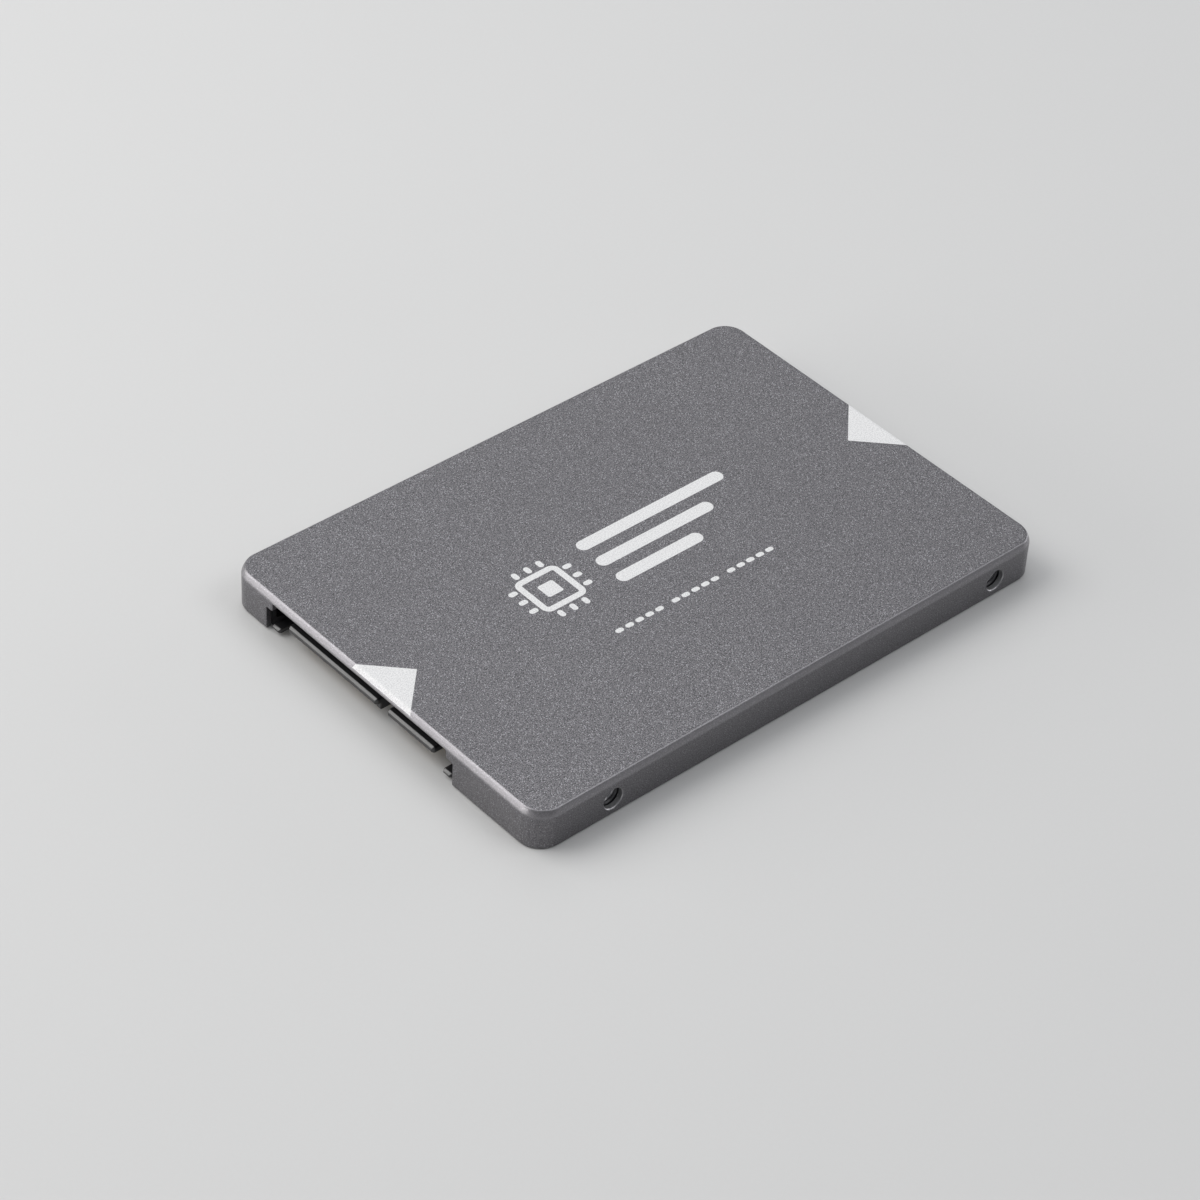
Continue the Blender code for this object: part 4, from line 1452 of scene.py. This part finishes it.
def makeContact(node):
    # a blade whose tip is turned up into the tongue, with eased edges
    c, ease = contact, contact["ease"]
    low, high = boxOf(node)
    middle, thick = (low[2] + high[2]) / 2, high[2] - low[2]
    path = [(middle + c["upShare"] * thick, low[0]), (middle, low[0] + c["turnUp"]), (middle, high[0])]
    left, right = low[1], high[1]
    stages = eased(left, right, ease, ease)
    stages[1:1] = [(0.3 * ease, left + 0.3 * ease)]
    stages[-1:-1] = [(0.3 * ease, right - 0.3 * ease)]
    blade = folded(path, c["fold"], 5, c["thickShare"] * thick, stages)
    addPiece(pieceName(node), blade, contactGold, slot="contact_gold", replaced=[node])


def makeTab(node):
    # a folded strip: up the back of the plug and along the board
    low, high = boxOf(node)
    thick, ease = tab["thick"], tab["ease"]
    back, foot = low[0] + thick / 2, low[2] + thick / 2
    path = [(high[2], back), (foot, back), (foot, high[0])]
    form = folded(path, tab["fold"], 6, thick, eased(low[1], high[1], ease, ease))
    addPiece(pieceName(node), form, platedSteel, slot="plated_steel", replaced=[node])


makePlug()
for row, count in (("signal", 7), ("power", 15)):
    for number in range(1, count + 1):
        makeContact(f"{row}_contact_{number}")
for number in (1, 2):
    makeTab(f"plug_tab_{number}")
print("plug made")


# stage, light and camera

stage = {
    "size": 6.0,
    "thick": 5 * mm,
    "floorTone": (0.62, 0.62, 0.62),
    "sky": (0.80, 0.82, 0.85),
    "skyStrength": 0.22,
}
warm, cool = (1.0, 0.98, 0.96), (0.98, 0.99, 1.0)
# each light's direction, distance (m), size (m), power (W) and tone
softboxes = {
    "keySoftbox": ((-0.42, 0.56, 0.70), 0.9, (0.7, 0.6), 5.0, (1.0, 0.99, 0.97)),
    "sideSoftbox": ((-0.82, 0.55, 0.10), 1.3, (1.5, 0.5), 13.0, warm),
    "farSoftbox": ((0.42, 0.60, 0.70), 1.2, (1.1, 1.0), 3.0, cool),
    "nearSoftbox": ((0.40, -0.50, 0.76), 1.2, (0.8, 0.6), 3.2, cool),
    "endSoftbox": ((0.95, -0.18, 0.09), 1.3, (0.9, 0.4), 4.0, (0.98, 0.98, 1.0)),
    "topSoftbox": ((0.0, 0.1, 1.0), 1.1, (0.9, 0.9), 2.5, cool),
}
camera = {
    "azimuth": math.radians(-43.639),
    "elevation": math.radians(40.443),
    "roll": math.radians(3.667),
    "distance": 542.2 * mm,
    "aim": (-12.57 * mm, -5.05 * mm),
    "lens": 110.99,
    "sensor": 36.0,
}


def floorFinish():
    # pale matt board, faintly clouded
    f = Finish("paleFloor")
    tone = stage["floorTone"]
    soft = f.noise(60 * mm, 3)
    fine = f.noise(0.6 * mm, 3)
    f.set(Base_Color=f.mix(soft * 0.5 + fine * 0.2, tone, [0.96 * c for c in tone]))
    return f.set(Roughness=f.step(fine, 0.3, 0.7, 0.72, 0.82))


def makeStage():
    # a grid of equal squares, turned into a thin slab whose top is the floor
    half = stage["size"] / 2
    line = np.linspace(-half, half, 9)
    x, y = np.meshgrid(line, line, indexing="ij")
    upper = np.stack([x, y, np.zeros_like(x)], axis=-1)
    floor = solid("studioFloor", slab(upper, upper - np.array((0, 0, stage["thick"]))))
    floor.data.materials.append(floorFinish())
    world = bpy.data.worlds.new("paleRoom")
    world.use_nodes = True
    sky = world.node_tree.nodes["Background"]
    sky.inputs["Color"].default_value = (*stage["sky"], 1)
    sky.inputs["Strength"].default_value = stage["skyStrength"]
    bpy.context.scene.world = world


def makeSoftbox(name, way, away, size, power, tone):
    # a rectangle of light at a distance along its direction, facing the drive
    lamp = bpy.data.lights.new(name, "AREA")
    lamp.shape = "RECTANGLE"
    lamp.size, lamp.size_y = size
    lamp.energy = power
    lamp.color = tone
    holder = bpy.data.objects.new(name, lamp)
    aim = Vector(way).normalized()
    holder.location = aim * away
    holder.rotation_euler = aim.to_track_quat("Z", "Y").to_euler()
    bpy.context.scene.collection.objects.link(holder)


def makeCamera():
    # back = (sin a cos e, -cos a cos e, sin e); the picture's sides are then turned by the roll
    a, e, r = camera["azimuth"], camera["elevation"], camera["roll"]
    back = Vector((math.sin(a) * math.cos(e), -math.cos(a) * math.cos(e), math.sin(e)))
    level = Vector((math.cos(a), math.sin(a), 0))
    upright = back.cross(level)
    right = level * math.cos(r) + upright * math.sin(r)
    up = upright * math.cos(r) - level * math.sin(r)
    lens = bpy.data.cameras.new("viewCamera")
    lens.lens, lens.sensor_width = camera["lens"], camera["sensor"]
    lens.clip_start, lens.clip_end = 0.01, 20
    holder = bpy.data.objects.new("viewCamera", lens)
    place = Vector((*camera["aim"], topFace)) + back * camera["distance"]
    holder.matrix_world = Matrix.Translation(place) @ Matrix((right, up, back)).transposed().to_4x4()
    bpy.context.scene.collection.objects.link(holder)
    bpy.context.scene.camera = holder


makeStage()
for name, sizes in softboxes.items():
    makeSoftbox(name, *sizes)
makeCamera()
bpy.context.scene.view_settings.view_transform = "Standard"
print("stage, light and camera made")
